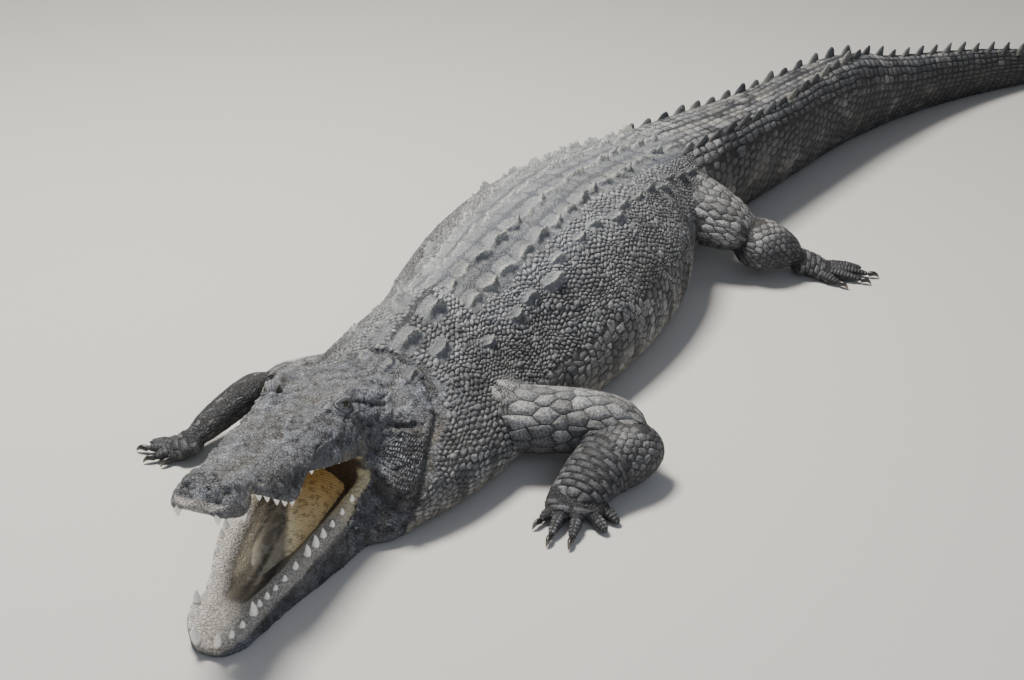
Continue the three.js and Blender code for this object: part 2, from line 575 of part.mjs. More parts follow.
// Head: the skull with its teeth, the lower jaw with its own, the jowls, tongue and eyes.
const skullWithTeeth = join([skull(0), ...upperTeeth]);
const jawWithTeeth = join([lowerJaw(0), ...lowerTeeth]);
const grownSkull = skull(GAP);
const grownJaw = lowerJaw(GAP);
const grownJowls = jowls(GAP);
const grownThroat = throat(GAP);
const head = cutAway(skullWithTeeth, [eye(1, GAP), eye(-1, GAP), grownJaw]);
addPiece('head', head, finish(SKIN_TOP, 0.85));
addPiece('lower_jaw', cutAway(jawWithTeeth, [skull(GAP)]), finish(SKIN_SIDE, 0.85));
const grownBody = bodySolid(GAP);
const tongueFree = cutAway(tongue(), [grownJowls, grownThroat, grownJaw, grownSkull, grownBody]);
addPiece('tongue', tongueFree, finish('#b79a58', 0.5));
addPiece('eye_left', eye(1), finish('#6f6a3c', 0.15));
addPiece('eye_right', eye(-1), finish('#6f6a3c', 0.15));

// Neck with the jowls, trunk and tail: one body, parted with thin cuts across it.
const body = join([bodySolid(0), ...crestSolids()]);
const BODY_PARTS = {
  neck: [BODY_FRONT - 50, -480],
  trunk: [-480, 470],
  tail_base: [470, 950],
  tail_middle: [950, 1450],
  tail_rear: [1450, 1950],
  tail_end: [1950, TAIL_TIP_Y + 50],
};
for (const [name, [from, to]] of Object.entries(BODY_PARTS)) {
  const piece = body.intersect(lengthOfBody(from, to));
  const isNeck = name === 'neck';
  const withThroat = () => join([piece, jowls(0), nape(0), throat(0)]);
  const solid = isNeck ? cutAway(withThroat(), [grownSkull, grownJaw]) : piece;
  addPiece(name, solid, finish(SKIN_SIDE, 0.88));
}

// Limbs: two lengths, a foot with its toes, and the claws of the three inner toes.
for (const [name, limb] of Object.entries(LIMBS)) {
  const upper = limbSolid(...limb.upper);
  const lower = limbSolid(...limb.lower);
  const toe = (run, grow) => limbSolid(run, toeSizes(limb.toeRadius), {
    rings: 4,
    sides: 5,
    blunt: 3,
    grow,
  });
  const foot = join([limbSolid(...limb.palm, { rings: 4, sides: 8 }),
    ...limb.toes.map((run) => toe(run, 0))]);
  const grownUpper = limbSolid(...limb.upper, { grow: GAP });
  const grownLower = limbSolid(...limb.lower, { grow: GAP });
  addPiece(`${name}_upper`, cutAway(upper, [grownBody]), finish(SKIN_LIMB, 0.85));
  addPiece(`${name}_lower`, cutAway(lower, [grownBody, grownUpper]), finish(SKIN_LIMB, 0.85));
  addPiece(`${name}_foot`, cutAway(foot, [grownUpper, grownLower]), finish(SKIN_LIMB, 0.85));
  for (let i = 0; i < limb.clawed; i += 1) {
    const claw = cutAway(clawSolid(limb.toes[i]), [toe(limb.toes[i], GAP)]);
    addPiece(`${name}_claw_${i + 1}`, claw, finish('#3b352b', 0.4));
  }
}

export default crocodile;
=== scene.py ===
import math

import bmesh
import bpy
import numpy as np
from mathutils import Matrix, Vector


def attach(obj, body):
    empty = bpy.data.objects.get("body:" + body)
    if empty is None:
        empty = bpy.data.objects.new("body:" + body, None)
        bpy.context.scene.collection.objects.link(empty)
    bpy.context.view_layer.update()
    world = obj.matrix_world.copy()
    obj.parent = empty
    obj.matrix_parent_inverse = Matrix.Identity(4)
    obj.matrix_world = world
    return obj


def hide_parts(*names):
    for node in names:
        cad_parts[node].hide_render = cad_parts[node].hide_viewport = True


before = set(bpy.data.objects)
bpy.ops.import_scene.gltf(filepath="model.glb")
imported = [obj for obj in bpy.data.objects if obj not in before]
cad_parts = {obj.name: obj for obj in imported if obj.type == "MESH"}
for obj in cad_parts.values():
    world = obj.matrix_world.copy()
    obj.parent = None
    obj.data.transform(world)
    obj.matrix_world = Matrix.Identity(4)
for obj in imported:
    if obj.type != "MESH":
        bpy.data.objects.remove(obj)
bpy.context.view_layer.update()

# %% [markdown]
# ## The camera
# A standing person looks down on the animal's left shoulder from three metres away. The camera could
# be aimed with a Track To constraint, but a matrix built from its three axes needs no helper object.
# %% Camera
CAMERA_PLACE = Vector((1.503, -2.596, 1.584))
FORWARD = Vector((-0.4527, 0.7538, -0.4764)).normalized()
ROLL = 0.00771
level_right = FORWARD.cross(Vector((0, 0, 1))).normalized()
level_up = level_right.cross(FORWARD)
camera_x = level_right * math.cos(ROLL) - level_up * math.sin(ROLL)
camera_y = level_right * math.sin(ROLL) + level_up * math.cos(ROLL)
camera = bpy.data.objects.new("camera", bpy.data.cameras.new("camera"))
camera.data.lens = 56.03
camera.data.sensor_width = 36.0
camera_axes = Matrix((camera_x, camera_y, -FORWARD)).transposed().to_4x4()
camera.matrix_world = Matrix.Translation(CAMERA_PLACE) @ camera_axes
bpy.context.scene.collection.objects.link(camera)
bpy.context.scene.camera = camera
print("camera at", tuple(CAMERA_PLACE))


# %% [markdown]
# ## Colours and nodes
# Paint charts give colours as sRGB hex, and the renderer works in linear light, so one function turns
# one into the other. The rest add shader nodes, set them and link them.
# %% Colour and node helpers
def linear(hex_code):
    """sRGB hex to linear red, green, blue and 1: up to 0.04045 divide by 12.92, else the 2.4 power."""
    channels = [int(hex_code[i : i + 2], 16) / 255 for i in (1, 3, 5)]
    return [c / 12.92 if c <= 0.04045 else ((c + 0.055) / 1.055) ** 2.4 for c in channels] + [1.0]


def add(tree, kind, inputs=None, **settings):
    """Adds a node. Settings are set on the node; an input takes a value, or a socket to link from."""
    node = tree.nodes.new("ShaderNode" + kind)
    for name, value in settings.items():
        setattr(node, name, value)
    for name, value in (inputs or {}).items():
        socket = node.inputs[name]
        if isinstance(value, bpy.types.NodeSocket):
            tree.links.new(value, socket)
        else:
            socket.default_value = value
    return node


def ramp(tree, value, *stops):
    """Colour that runs through the two stops, each a value and its hex colour."""
    node = add(tree, "ValToRGB", {"Fac": value})
    for element, (place, colour) in zip(node.color_ramp.elements, stops):
        element.position, element.color = place, linear(colour)
    return node.outputs["Color"]


def cloudy(tree, scale, detail, **more):
    """Noise texture over the object's own places, with that many cells to the metre."""
    place = add(tree, "TexCoord").outputs["Object"]
    return add(tree, "TexNoise", {"Vector": place, "Scale": scale, "Detail": detail, **more})


def bump(tree, shader, height, strength, depth):
    """Relief for light and shade alone: the height is worth that depth in metres."""
    node = add(tree, "Bump", {"Height": height, "Strength": strength, "Distance": depth})
    tree.links.new(node.outputs["Normal"], shader.inputs["Normal"])


def new_material(name, constants):
    """An empty node material with its output and a Principled shader, whose sockets get the constants."""
    material = bpy.data.materials.new(name)
    material.use_nodes = True
    tree = material.node_tree
    tree.nodes.clear()
    shader = add(tree, "BsdfPrincipled", constants)
    add(tree, "OutputMaterial", {"Surface": shader.outputs["BSDF"]})
    return material, tree, shader


# %% [markdown]
# ## Floor and light
# A plain pale studio floor, a small strong light high above the animal's right side, and a weak broad
# one from the front left, so that the keels catch the light and the flank still shows its scales.
# %% Floor and lights
floor_material, floor_tree, floor_shader = new_material("matte studio floor", {"Roughness": 0.9})
floor_grain = add(floor_tree, "TexNoise", {"Scale": 3.0, "Detail": 4.0})
floor_colour = ramp(floor_tree, floor_grain.outputs["Fac"], (0, "#b9b7b2"), (1, "#c3c1bc"))
floor_tree.links.new(floor_colour, floor_shader.inputs["Base Color"])
floor_mesh = bpy.data.meshes.new("studio_floor")
floor_mesh.from_pydata([(-25, -25, 0), (25, -25, 0), (25, 25, 0), (-25, 25, 0)], [], [(0, 1, 2, 3)])
floor_mesh.materials.append(floor_material)
floor = bpy.data.objects.new("studio_floor", floor_mesh)
bpy.context.scene.collection.objects.link(floor)

CENTRE = Vector((0.05, -0.1, 0.15))
LAMPS = [  # name, place and size in metres, power in watts, colour
    ("key_light", (-1.25, -0.3, 3.9), 1.1, 370, "#fffaf2"),
    ("fill_light", (3.0, -3.0, 2.6), 3.0, 50, "#dfe8ff"),
]
for lamp_name, place, size, power, tone in LAMPS:
    lamp = bpy.data.objects.new(lamp_name, bpy.data.lights.new(lamp_name, "AREA"))
    lamp.data.size = size
    lamp.data.energy = power
    lamp.data.color = linear(tone)[:3]
    lamp.location = place
    lamp.rotation_euler = (CENTRE - Vector(place)).to_track_quat("-Z", "Y").to_euler()
    bpy.context.scene.collection.objects.link(lamp)
world = bpy.data.worlds.new("studio")
world.use_nodes = True
sky = world.node_tree.nodes["Background"]
sky.inputs["Color"].default_value = linear("#d5dbe4")
sky.inputs["Strength"].default_value = 0.36
bpy.context.scene.world = world
print("floor and two soft lights")


# %% [markdown]
# ## Guides and noise
# Every outline of the animal is a guide: a smooth curve through a few named places. A spline object
# could hold it, but a function of the place can be asked for whole arrays of places at once.
# %% Number helpers
def guide(*knots):
    """Smooth curve through (place, value) pairs: cubic Hermite, each slope taken from the two neighbours."""
    places, values = np.array(knots, float).T
    slopes = np.empty_like(values)
    slopes[1:-1] = (values[2:] - values[:-2]) / (places[2:] - places[:-2])
    slopes[0] = (values[1] - values[0]) / (places[1] - places[0])
    slopes[-1] = (values[-1] - values[-2]) / (places[-1] - places[-2])

    def at(place):
        place = np.clip(place, places[0], places[-1])
        i = np.clip(np.searchsorted(places, place, side="right") - 1, 0, len(places) - 2)
        width = places[i + 1] - places[i]
        t = (place - places[i]) / width
        start = (1 + 2 * t) * (1 - t) ** 2 * values[i] + t * (1 - t) ** 2 * width * slopes[i]
        return start + t * t * (3 - 2 * t) * values[i + 1] + t * t * (t - 1) * width * slopes[i + 1]

    return at


def table_of(*axes):
    """Points whose coordinates along each axis are given as arrays that stretch to one shape."""
    return np.stack(np.broadcast_arrays(*axes), -1)


def size_of(vectors):
    """Length of each vector."""
    return np.linalg.norm(vectors, axis=-1)


def unit(vectors):
    """The same directions, each one long."""
    return vectors / np.maximum(size_of(vectors)[..., None], 1e-9)


def clamp(value):
    """The value kept between 0 and 1."""
    return np.clip(value, 0, 1)


def bell(distance, width):
    """1 at the middle, dying away as exp(-(distance / width)^2)."""
    return np.exp(-((distance / width) ** 2))


def signed_power(value, exponent):
    """Raises the size of a number to a power and keeps its sign."""
    return np.sign(value) * np.abs(value) ** exponent


def smooth(low, high, value):
    """0 below low, 1 above high, and an S-shaped rise between."""
    t = clamp((value - low) / (high - low))
    return t * t * (3 - 2 * t)


def scramble(*numbers):
    """A repeatable random number from 0 to 1 for each set of whole numbers, by mixing their bits."""
    mixed = np.zeros(np.broadcast(*numbers).shape, np.uint64)
    for number, factor in zip(numbers, (73856093, 19349663, 83492791, 49979687)):
        mixed ^= np.asarray(number).astype(np.int64).astype(np.uint64) * np.uint64(factor)
        mixed ^= mixed >> np.uint64(15)
        mixed *= np.uint64(2654435761)
    mixed ^= mixed >> np.uint64(17)
    return (mixed & np.uint64(0xFFFFFF)).astype(float) / 0xFFFFFF


def noise(points, size, seed=0):
    """Smooth random field from -1 to 1: random numbers on a lattice of that size in mm, blended between."""
    scaled = points / size + 1000.0
    cell = np.floor(scaled).astype(np.int64)
    t = scaled - cell
    t = t * t * (3 - 2 * t)
    total = 0.0
    for corner in range(8):
        step = np.array([corner & 1, corner >> 1 & 1, corner >> 2 & 1])
        weight = np.prod(np.where(step, t, 1 - t), axis=-1)
        place = cell + step
        total = total + weight * scramble(place[..., 0], place[..., 1], place[..., 2], seed)
    return total * 2 - 1


# %% [markdown]
# ## Meshes from arrays
# A table of points worked out from guides with numpy becomes a mesh in one call, which is far quicker
# than adding vertices one at a time.
# %% Mesh helpers
def grid_faces(rows, columns, wrap=False):
    """Quads of a table of points; wrap joins the last column to the first."""
    i = np.arange(rows - 1)[:, None]
    j = np.arange(columns if wrap else columns - 1)[None, :]
    k = (j + 1) % columns
    quads = table_of(i * columns + j, i * columns + k, (i + 1) * columns + k, (i + 1) * columns + j)
    return quads.reshape(-1, 4)


def many_grids(count, rows, columns, wrap=False):
    """Quads of several like tables of points, one after another."""
    starts = np.arange(count) * rows * columns
    return (grid_faces(rows, columns, wrap)[None] + starts[:, None, None]).reshape(-1, 4)


def capped(table):
    """The table between two rings that are its end rings drawn together to their middles."""
    first, last = [np.broadcast_to(end.mean(1, keepdims=True), end.shape) for end in (table[:1], table[-1:])]
    return np.concatenate([first, table, last])


def mesh_object(name, points, face_sets):
    """A mesh object from points in mm and a list of arrays of faces, each with one count of corners."""
    mesh = bpy.data.meshes.new(name)
    corners = np.concatenate([faces.ravel() for faces in face_sets]).astype(np.int32)
    sizes = np.concatenate([np.full(len(faces), faces.shape[1]) for faces in face_sets])
    mesh.vertices.add(len(points))
    mesh.vertices.foreach_set("co", (np.asarray(points, float) * 0.001).ravel())
    mesh.loops.add(len(corners))
    mesh.loops.foreach_set("vertex_index", corners)
    mesh.polygons.add(len(sizes))
    mesh.polygons.foreach_set("loop_start", np.concatenate([[0], np.cumsum(sizes)[:-1]]).astype(np.int32))
    mesh.polygons.foreach_set("use_smooth", np.ones(len(sizes), bool))
    mesh.update(calc_edges=True)
    made = bpy.data.objects.new(name, mesh)
    bpy.context.scene.collection.objects.link(made)
    return made


def face_out(made):
    """Turns every shell's faces outwards."""
    work = bmesh.new()
    work.from_mesh(made.data)
    bmesh.ops.recalc_face_normals(work, faces=work.faces)
    work.to_mesh(made.data)
    work.free()


def finish_piece(made, material, replaced=(), marks=None, patches=None):
    """Gives a piece its material, its named marks (one number per point) and its map of patches."""
    mesh = made.data
    mesh.materials.append(material)
    for mark, values in (marks or {}).items():
        layer = mesh.attributes.new(mark, "FLOAT", "POINT")
        layer.data.foreach_set("value", np.asarray(values, np.float32).ravel())
    if patches is not None:
        layer = mesh.uv_layers.new(name="OFBake")
        corners = np.empty(len(mesh.loops), np.int32)
        mesh.loops.foreach_get("vertex_index", corners)
        layer.data.foreach_set("uv", patches[corners].astype(np.float32).ravel())
    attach(made, "root")
    if replaced:
        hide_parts(*replaced)
    print(f"{made.name}: {len(mesh.loops) - 2 * len(mesh.polygons)} triangles")
    return made


def read_back(made):
    """Points in mm and faces of an object with its modifiers worked out; the object is then removed."""
    shape = made.evaluated_get(bpy.context.evaluated_depsgraph_get()).to_mesh()
    points = np.empty(len(shape.vertices) * 3)
    shape.vertices.foreach_get("co", points)
    corners = np.empty(len(shape.loops), np.int32)
    shape.loops.foreach_get("vertex_index", corners)
    sides = len(shape.loops) // max(len(shape.polygons), 1)
    result = points.reshape(-1, 3) * 1000, corners.reshape(-1, sides) if len(corners) else corners
    mesh = made.data
    bpy.data.objects.remove(made)
    bpy.data.meshes.remove(mesh)
    return result


# %% [markdown]
# ## The body and tail
# The trunk, neck and tail are one long loft. Each ring is a superellipse: squarish under the belly,
# round over the back, and box-like at the tail root, where two crests stand at the corners.
# %% Body guides
FLOOR = 0.0
BODY_FRONT, TAIL_TIP = -795.0, 2330.0
body_middle = guide((-790, 46), (-700, 47), (-600, 49), (-480, 41), (-330, 36), (-200, 36), (-50, 28),
    (100, 22), (250, 18), (380, 27), (500, 51), (650, 86), (850, 122), (1050, 146), (1250, 172),
    (1400, 204), (1550, 248), (1700, 306), (1850, 380), (2000, 470), (2150, 578), (2330, 724))
body_half_width = guide((-790, 175), (-700, 205), (-600, 221), (-480, 230), (-330, 237), (-200, 261),
    (-50, 271), (100, 263), (250, 233), (380, 180), (500, 138), (650, 112), (850, 95), (1050, 87),
    (1250, 77), (1450, 66), (1650, 52), (1850, 40), (2050, 28), (2200, 19), (2330, 7))
body_top = guide((-790, 164), (-700, 204), (-600, 244), (-480, 280), (-330, 308), (-200, 324), (-50, 328),
    (100, 322), (250, 304), (380, 286), (500, 278), (650, 270), (850, 262), (1050, 262), (1250, 262),
    (1350, 248), (1450, 218), (1550, 198), (1700, 174), (1850, 148), (2050, 108), (2200, 74), (2330, 30))
body_widest = guide((-790, 66), (-500, 84), (-100, 94), (300, 112), (450, 136), (600, 158), (800, 162),
    (1300, 142), (1800, 88), (2330, 16))
back_squareness = guide((-790, 1.72), (-700, 1.6), (-600, 1.46), (-480, 1.3), (-330, 1.22), (-200, 1.5),
    (-50, 1.75), (100, 1.87), (250, 2.0), (380, 2.24), (500, 2.68), (650, 3.7), (850, 3.5), (1050, 3.2),
    (1300, 2.3), (1500, 2.0), (2330, 2))
belly_squareness = guide((-790, 3.2), (300, 3.2), (550, 2.2), (800, 1.9), (2330, 2))
belly_sag = guide((-790, 14), (300, 14), (550, 6), (2330, 3))
tail_lean = guide((500, 0), (850, 0.01), (1150, 0.06), (1450, 0.18), (1700, 0.22), (2330, 0.1))


def half_ring(y, above):
    """Height and squareness of the half of the ring at y above its widest place, or below it."""
    widest = body_widest(y)
    height = np.where(above, body_top(y) - widest, widest + belly_sag(y))
    return height, np.where(above, back_squareness(y), belly_squareness(y))


def body_point(y, angle, grow=0.0):
    """Ring at y: out = sin(angle)^(2/n) of the half width, up = cos(angle)^(2/n) of the height."""
    slope = (body_middle(y + 5) - body_middle(y - 5)) / 10
    flat = 1 / np.hypot(1, slope)
    widest = body_widest(y)
    height, squareness = half_ring(y, np.cos(angle) > 0)
    out = signed_power(np.sin(angle), 2 / squareness) * (body_half_width(y) + grow)
    rise = signed_power(np.cos(angle), 2 / squareness) * (height + grow)
    z = np.maximum(widest + rise, FLOOR - grow)
    out = out + tail_lean(y) * z
    return table_of(body_middle(y) + flat * out, y - slope * flat * out, z)


def body_table(ys, half_columns, grow):
    """Rings at the given places, each resampled so that its points are evenly spaced round the skin.
    The middle column runs along the top of the back. Also returns half of each ring's girth."""
    half = 360
    angles = np.linspace(-np.pi, np.pi, 2 * half + 1)
    dense = body_point(ys[:, None], angles[None, :], grow)
    steps = size_of(np.diff(dense, axis=1))
    arc = np.concatenate([np.zeros((len(ys), 1)), np.cumsum(steps, axis=1)], axis=1)
    arc -= arc[:, half:half + 1]
    share = np.linspace(-1, 1, 2 * half_columns + 1)
    wanted = np.where(share < 0, -share * arc[:, :1], share * arc[:, -1:])
    rings = [[np.interp(want, run, ring[:, axis]) for axis in range(3)] for want, run, ring in zip(wanted,
        arc, dense)]
    return np.array(rings).transpose(0, 2, 1), (arc[:, -1] - arc[:, 0]) / 2


def inside_body(points, shrink=0.0):
    """True for points inside the superellipse of the ring beside them, made smaller by shrink mm."""
    y = points[..., 1]
    rise = points[..., 2] - body_widest(y)
    height, n = half_ring(y, rise > 0)
    out = np.abs(points[..., 0] - body_middle(y) - tail_lean(y) * points[..., 2])
    reach = (out / (body_half_width(y) - shrink)) ** n + (np.abs(rise) / (height - shrink)) ** n
    return reach < 1


# %% [markdown]
# ## Legs and toes
# Each leg is a few round-ended tubes along bent paths: upper, lower, foot and toes. Front feet have
# five toes and hind feet four, and only the inner three of each have claws.
# %% Limb paths
LIMBS = {"fore_left": {"upper": [[(110, -470, 112), (235, -492, 98), (330, -440, 90), (400, -408, 84),
    (454, -400, 70)], [(0, 72, 74), (0.35, 64, 66), (0.7, 62, 62), (1, 58, 56)]],
    "lower": [[(466, -380, 56), (446, -440, 60), (424, -510, 52), (418, -594, 32)], [(0, 58, 50),
    (0.35, 66, 58), (0.7, 58, 46), (1, 54, 30)]], "palm": [[(414, -530, 38), (418, -574, 29),
    (428, -616, 18)], [(0, 52, 32), (0.5, 57, 25), (1, 54, 16)]], "toes": [[(394, -596, 17),
    (386, -622, 15), (382, -644, 9)], [(410, -606, 18), (415, -644, 16), (421, -676, 9)], [(436, -602, 18),
    (447, -636, 16), (456, -666, 9)], [(450, -586, 17), (476, -602, 15), (500, -614, 8)], [(462, -564, 16),
    (484, -571, 13), (504, -577, 7)]], "toe_radius": 13}, "fore_right": {"upper": [[(-60, -440, 76),
    (-130, -490, 74), (-188, -540, 76), (-237, -600, 84)], [(0, 56, 58), (0.4, 50, 52), (0.7, 45, 46),
    (1, 38, 40)]], "lower": [[(-243, -582, 82), (-257, -645, 70), (-270, -708, 54), (-278, -772, 36)],
    [(0, 36, 36), (0.35, 35, 35), (0.7, 32, 31), (1, 32, 25)]], "palm": [[(-277, -752, 34), (-290, -778,
    26), (-304, -792, 18)], [(0, 32, 25), (0.6, 38, 20), (1, 36, 15)]], "toes": [[(-288, -786, 17),
    (-292, -800, 15), (-298, -816, 9)], [(-302, -792, 17), (-314, -808, 16), (-330, -824, 9)],
    [(-308, -784, 17), (-336, -796, 16), (-364, -806, 9)], [(-310, -776, 16), (-344, -778, 14),
    (-376, -784, 7)], [(-304, -766, 15), (-330, -758, 12), (-352, -752, 6)]], "toe_radius": 13},
    "hind_left": {"upper": [[(70, 400, 160), (160, 412, 152), (232, 410, 134), (306, 418, 104)],
    [(0, 88, 90), (0.4, 78, 78), (0.75, 68, 66), (1, 58, 56)]], "lower": [[(286, 404, 92), (322, 440, 82),
    (356, 472, 66), (390, 506, 44)], [(0, 60, 56), (0.35, 64, 60), (0.7, 52, 48), (1, 42, 32)]],
    "palm": [[(380, 492, 38), (414, 510, 29), (452, 524, 19)], [(0, 44, 32), (0.5, 44, 24), (1, 44, 16)]],
    "toes": [[(426, 498, 18), (468, 488, 16), (504, 482, 9)], [(430, 508, 18), (490, 516, 16),
    (540, 524, 9)], [(430, 520, 18), (490, 542, 16), (544, 562, 9)], [(420, 526, 18), (470, 562, 14),
    (516, 592, 7)]], "toe_radius": 14}, "hind_right": {"upper": [[(-40, 410, 130), (-110, 406, 115),
    (-165, 396, 100), (-225, 392, 82)], [(0, 80, 84), (0.4, 72, 74), (0.75, 62, 62), (1, 54, 52)]],
    "lower": [[(-215, 376, 76), (-238, 410, 70), (-256, 446, 60), (-272, 484, 42)], [(0, 54, 52),
    (0.35, 58, 54), (0.7, 50, 46), (1, 40, 32)]], "palm": [[(-268, 470, 38), (-286, 500, 29),
    (-310, 528, 19)], [(0, 42, 32), (0.5, 42, 24), (1, 42, 16)]], "toes": [[(-296, 498, 18),
    (-340, 506, 16), (-376, 510, 9)], [(-298, 510, 18), (-352, 532, 16), (-400, 552, 9)], [(-292, 520, 18),
    (-334, 562, 16), (-372, 600, 9)], [(-282, 522, 18), (-306, 572, 14), (-326, 614, 7)]],
    "toe_radius": 14}}
CLAWED_TOES = 3


# %% [markdown]
# ## Round-ended tubes
# A leg is widest at the muscle and closes over the joint. A curve object with a bevel could sweep a
# ring, but a worked-out table lets width and height change apart and tells what lies inside it.
# %% Tubes along a path
def path_through(knots, count):
    """Centripetal Catmull-Rom curve through the knots, resampled at equal steps of length."""
    knots = np.array(knots, float)
    p = np.vstack([2 * knots[0] - knots[1], knots, 2 * knots[-1] - knots[-2]])
    gap = np.sqrt(size_of(np.diff(p, axis=0)))[:, None]
    chord = np.diff(p, axis=0) / gap
    wide = (p[2:] - p[:-2]) / (gap[1:] + gap[:-1])
    start = (chord[:-2] - wide[:-1] + chord[1:-1]) * gap[1:-1]
    end = (chord[1:-1] - wide[1:] + chord[2:]) * gap[1:-1]
    t = np.linspace(0, 1, 60)[:, None, None]
    a, b = p[1:-2], p[2:-1]
    run = a + start * t + (3 * (b - a) - 2 * start - end) * t**2 + (2 * (a - b) + start + end) * t**3
    run = run.transpose(1, 0, 2).reshape(-1, 3)
    length = np.concatenate([[0], np.cumsum(size_of(np.diff(run, axis=0)))])
    even = np.linspace(0, length[-1], count)
    return np.stack([np.interp(even, length, run[:, axis]) for axis in range(3)], -1), length[-1]


def tube(knots, sizes, grow=0.0, rows=64, columns=64, blunt=4):
    """Table of rings along a path: each is an ellipse across it, and the ends close as
    (1 - |2a - 1|^blunt)^(1/blunt) of the size at the share a of the length."""
    sizes = np.array(sizes, float)
    half_width = guide(*sizes[:, :2])
    half_height = guide(*sizes[:, [0, 2]])
    centres, length = path_through(knots, 401)
    tangents = unit(np.gradient(centres, axis=0))
    share = (1 - np.cos(np.pi * np.linspace(0, 1, rows))) / 2
    pick = np.round(share * 400).astype(int)
    tangent = tangents[pick]
    across = unit(np.cross(tangent, [0, 0, 1.0]))
    over = np.cross(across, tangent)
    close = (1 - np.abs(2 * share - 1) ** blunt) ** (1 / blunt)
    angle = np.linspace(-np.pi / 2, 1.5 * np.pi, columns + 1)[None, :, None]
    centre = centres[pick] + tangent * (grow * (2 * share - 1))[:, None]
    wide = (close * (half_width(share) + grow))[:, None, None]
    high = (close * (half_height(share) + grow))[:, None, None]
    table = centre[:, None] + across[:, None] * np.cos(angle) * wide + over[:, None] * np.sin(angle) * high
    table[..., 2] = np.maximum(table[..., 2], FLOOR - grow)
    shape = {"centre": centre, "across": across, "over": over, "tangent": tangent,
        "wide": half_width(share), "high": half_height(share), "length": length}
    return table, shape


def inside_tube(points, shape, margin=0.0):
    """True for points within the ellipse of the nearest ring of a tube, made bigger by margin mm."""
    flat = points.reshape(-1, 3)
    offset = flat[:, None] - shape["centre"][None]
    nearest = np.argmin((offset**2).sum(-1), axis=1)
    offset = offset[np.arange(len(flat)), nearest]
    out = (offset * shape["across"][nearest]).sum(-1) / (shape["wide"][nearest] + margin)
    rise = (offset * shape["over"][nearest]).sum(-1) / (shape["high"][nearest] + margin)
    along = np.abs((offset * shape["tangent"][nearest]).sum(-1)) < 12
    return ((out**2 + rise**2 < 1) & along).reshape(points.shape[:-1])


COAT = 3.0  # depth of the scales over the hide
TOE_SIZES = {r: [(0, r, r), (0.5, r * 0.95, r * 0.95), (1, r * 0.62, r * 0.62)] for r in (13, 14)}
tubes = {}
for limb_name, limb in LIMBS.items():
    for part_name in ("upper", "lower", "palm"):
        tubes[f"{limb_name}_{part_name}"] = tube(*limb[part_name], grow=-COAT)
    for number, toe_path in enumerate(limb["toes"]):
        tubes[f"{limb_name}_toe{number}"] = tube(toe_path, TOE_SIZES[limb["toe_radius"]], grow=-1.5,
            rows=40, columns=32, blunt=3)
print(len(tubes), "tubes for legs and toes")

# %% [markdown]
# ## The head
# The skull and the lower jaw are lofts of half profiles along the head, in head lengths from the snout
# tip, mirrored and then turned into place. The gape swings the jaw about its joint. The jowl is a
# flattened ball that fills the corner behind the mouth, where the jaw muscles bulge.
# %% Head guides
HEAD = 515.0


def head_guide(*knots):
    """Guide whose places and values are given in thousandths of the head's length."""
    return guide(*np.array(knots) / 1000)


EYE_PLACE, EYE_RADIUS = np.array([0.722, 0.118, 0.138]), 0.034
skull_half_width = head_guide((0, 34), (12, 64), (40, 96), (90, 112), (135, 108), (175, 96), (220, 112),
    (290, 140), (360, 155), (440, 158), (520, 162), (620, 177), (720, 196), (820, 218), (920, 240),
    (1000, 250), (1060, 240), (1120, 190))
skull_top = head_guide((0, 22), (12, 46), (40, 73), (75, 88), (120, 83), (180, 70), (260, 78), (360, 92),
    (460, 112), (560, 128), (640, 130), (700, 138), (780, 150), (880, 166), (960, 171), (1020, 148),
    (1120, 100))
lip_height = head_guide((0, 2), (12, -12), (50, -20), (100, -24), (145, -12), (175, 4), (210, -4),
    (270, -28), (340, -52), (370, -44), (400, -14), (430, 6), (470, 4), (520, -6), (580, -14), (660, -20),
    (740, -22), (820, -12), (900, 0), (1000, -20), (1120, -50))
brow_out = head_guide((0, 16), (50, 60), (120, 66), (200, 56), (400, 78), (600, 94), (700, 116),
    (800, 130), (900, 138), (980, 138), (1120, 100))
brow_up = head_guide((0, 20), (50, 72), (120, 74), (200, 62), (400, 90), (600, 122), (680, 145),
    (750, 168), (840, 172), (950, 175), (1010, 150), (1120, 90))
cheek_out = head_guide((0, 22), (50, 78), (120, 90), (200, 90), (300, 115), (400, 134), (600, 154),
    (750, 178), (900, 207), (1000, 222), (1120, 180))
cheek_up = head_guide((0, 16), (50, 46), (200, 46), (400, 62), (600, 84), (750, 97), (900, 100),
    (1000, 90), (1120, 50))
jaw_half_width = head_guide((-5, 22), (10, 52), (40, 82), (90, 103), (140, 111), (190, 107), (260, 122),
    (340, 147), (430, 168), (520, 180), (620, 194), (720, 210), (820, 228), (920, 244), (1000, 252),
    (1080, 240), (1140, 210))
jaw_top = head_guide((-5, -20), (10, -2), (50, 6), (130, 10), (190, -6), (270, -10), (380, 4), (480, 0),
    (580, -6), (680, 0), (800, 18), (900, 30), (1000, 20), (1140, -40))
jaw_bottom = head_guide((-5, -50), (10, -72), (50, -84), (120, -98), (250, -118), (400, -142), (550, -168),
    (700, -194), (850, -218), (1000, -236), (1140, -220))
throat_half_width = head_guide((-5, 18), (10, 50), (50, 85), (140, 112), (260, 134), (430, 184),
    (600, 230), (750, 264), (900, 280), (1000, 276), (1140, 220))
mouth_floor = head_guide((-5, -22), (50, -6), (120, -10), (180, -18), (240, -44), (400, -58), (700, -72),
    (900, -60), (1140, -80))
gum_thickness = head_guide((-5, 20), (40, 60), (120, 75), (180, 70), (260, 70), (500, 70), (700, 60),
    (900, 52), (1140, 60))
tongue_half_width = head_guide((240, 12), (300, 44), (450, 82), (650, 108), (850, 120), (900, 100))


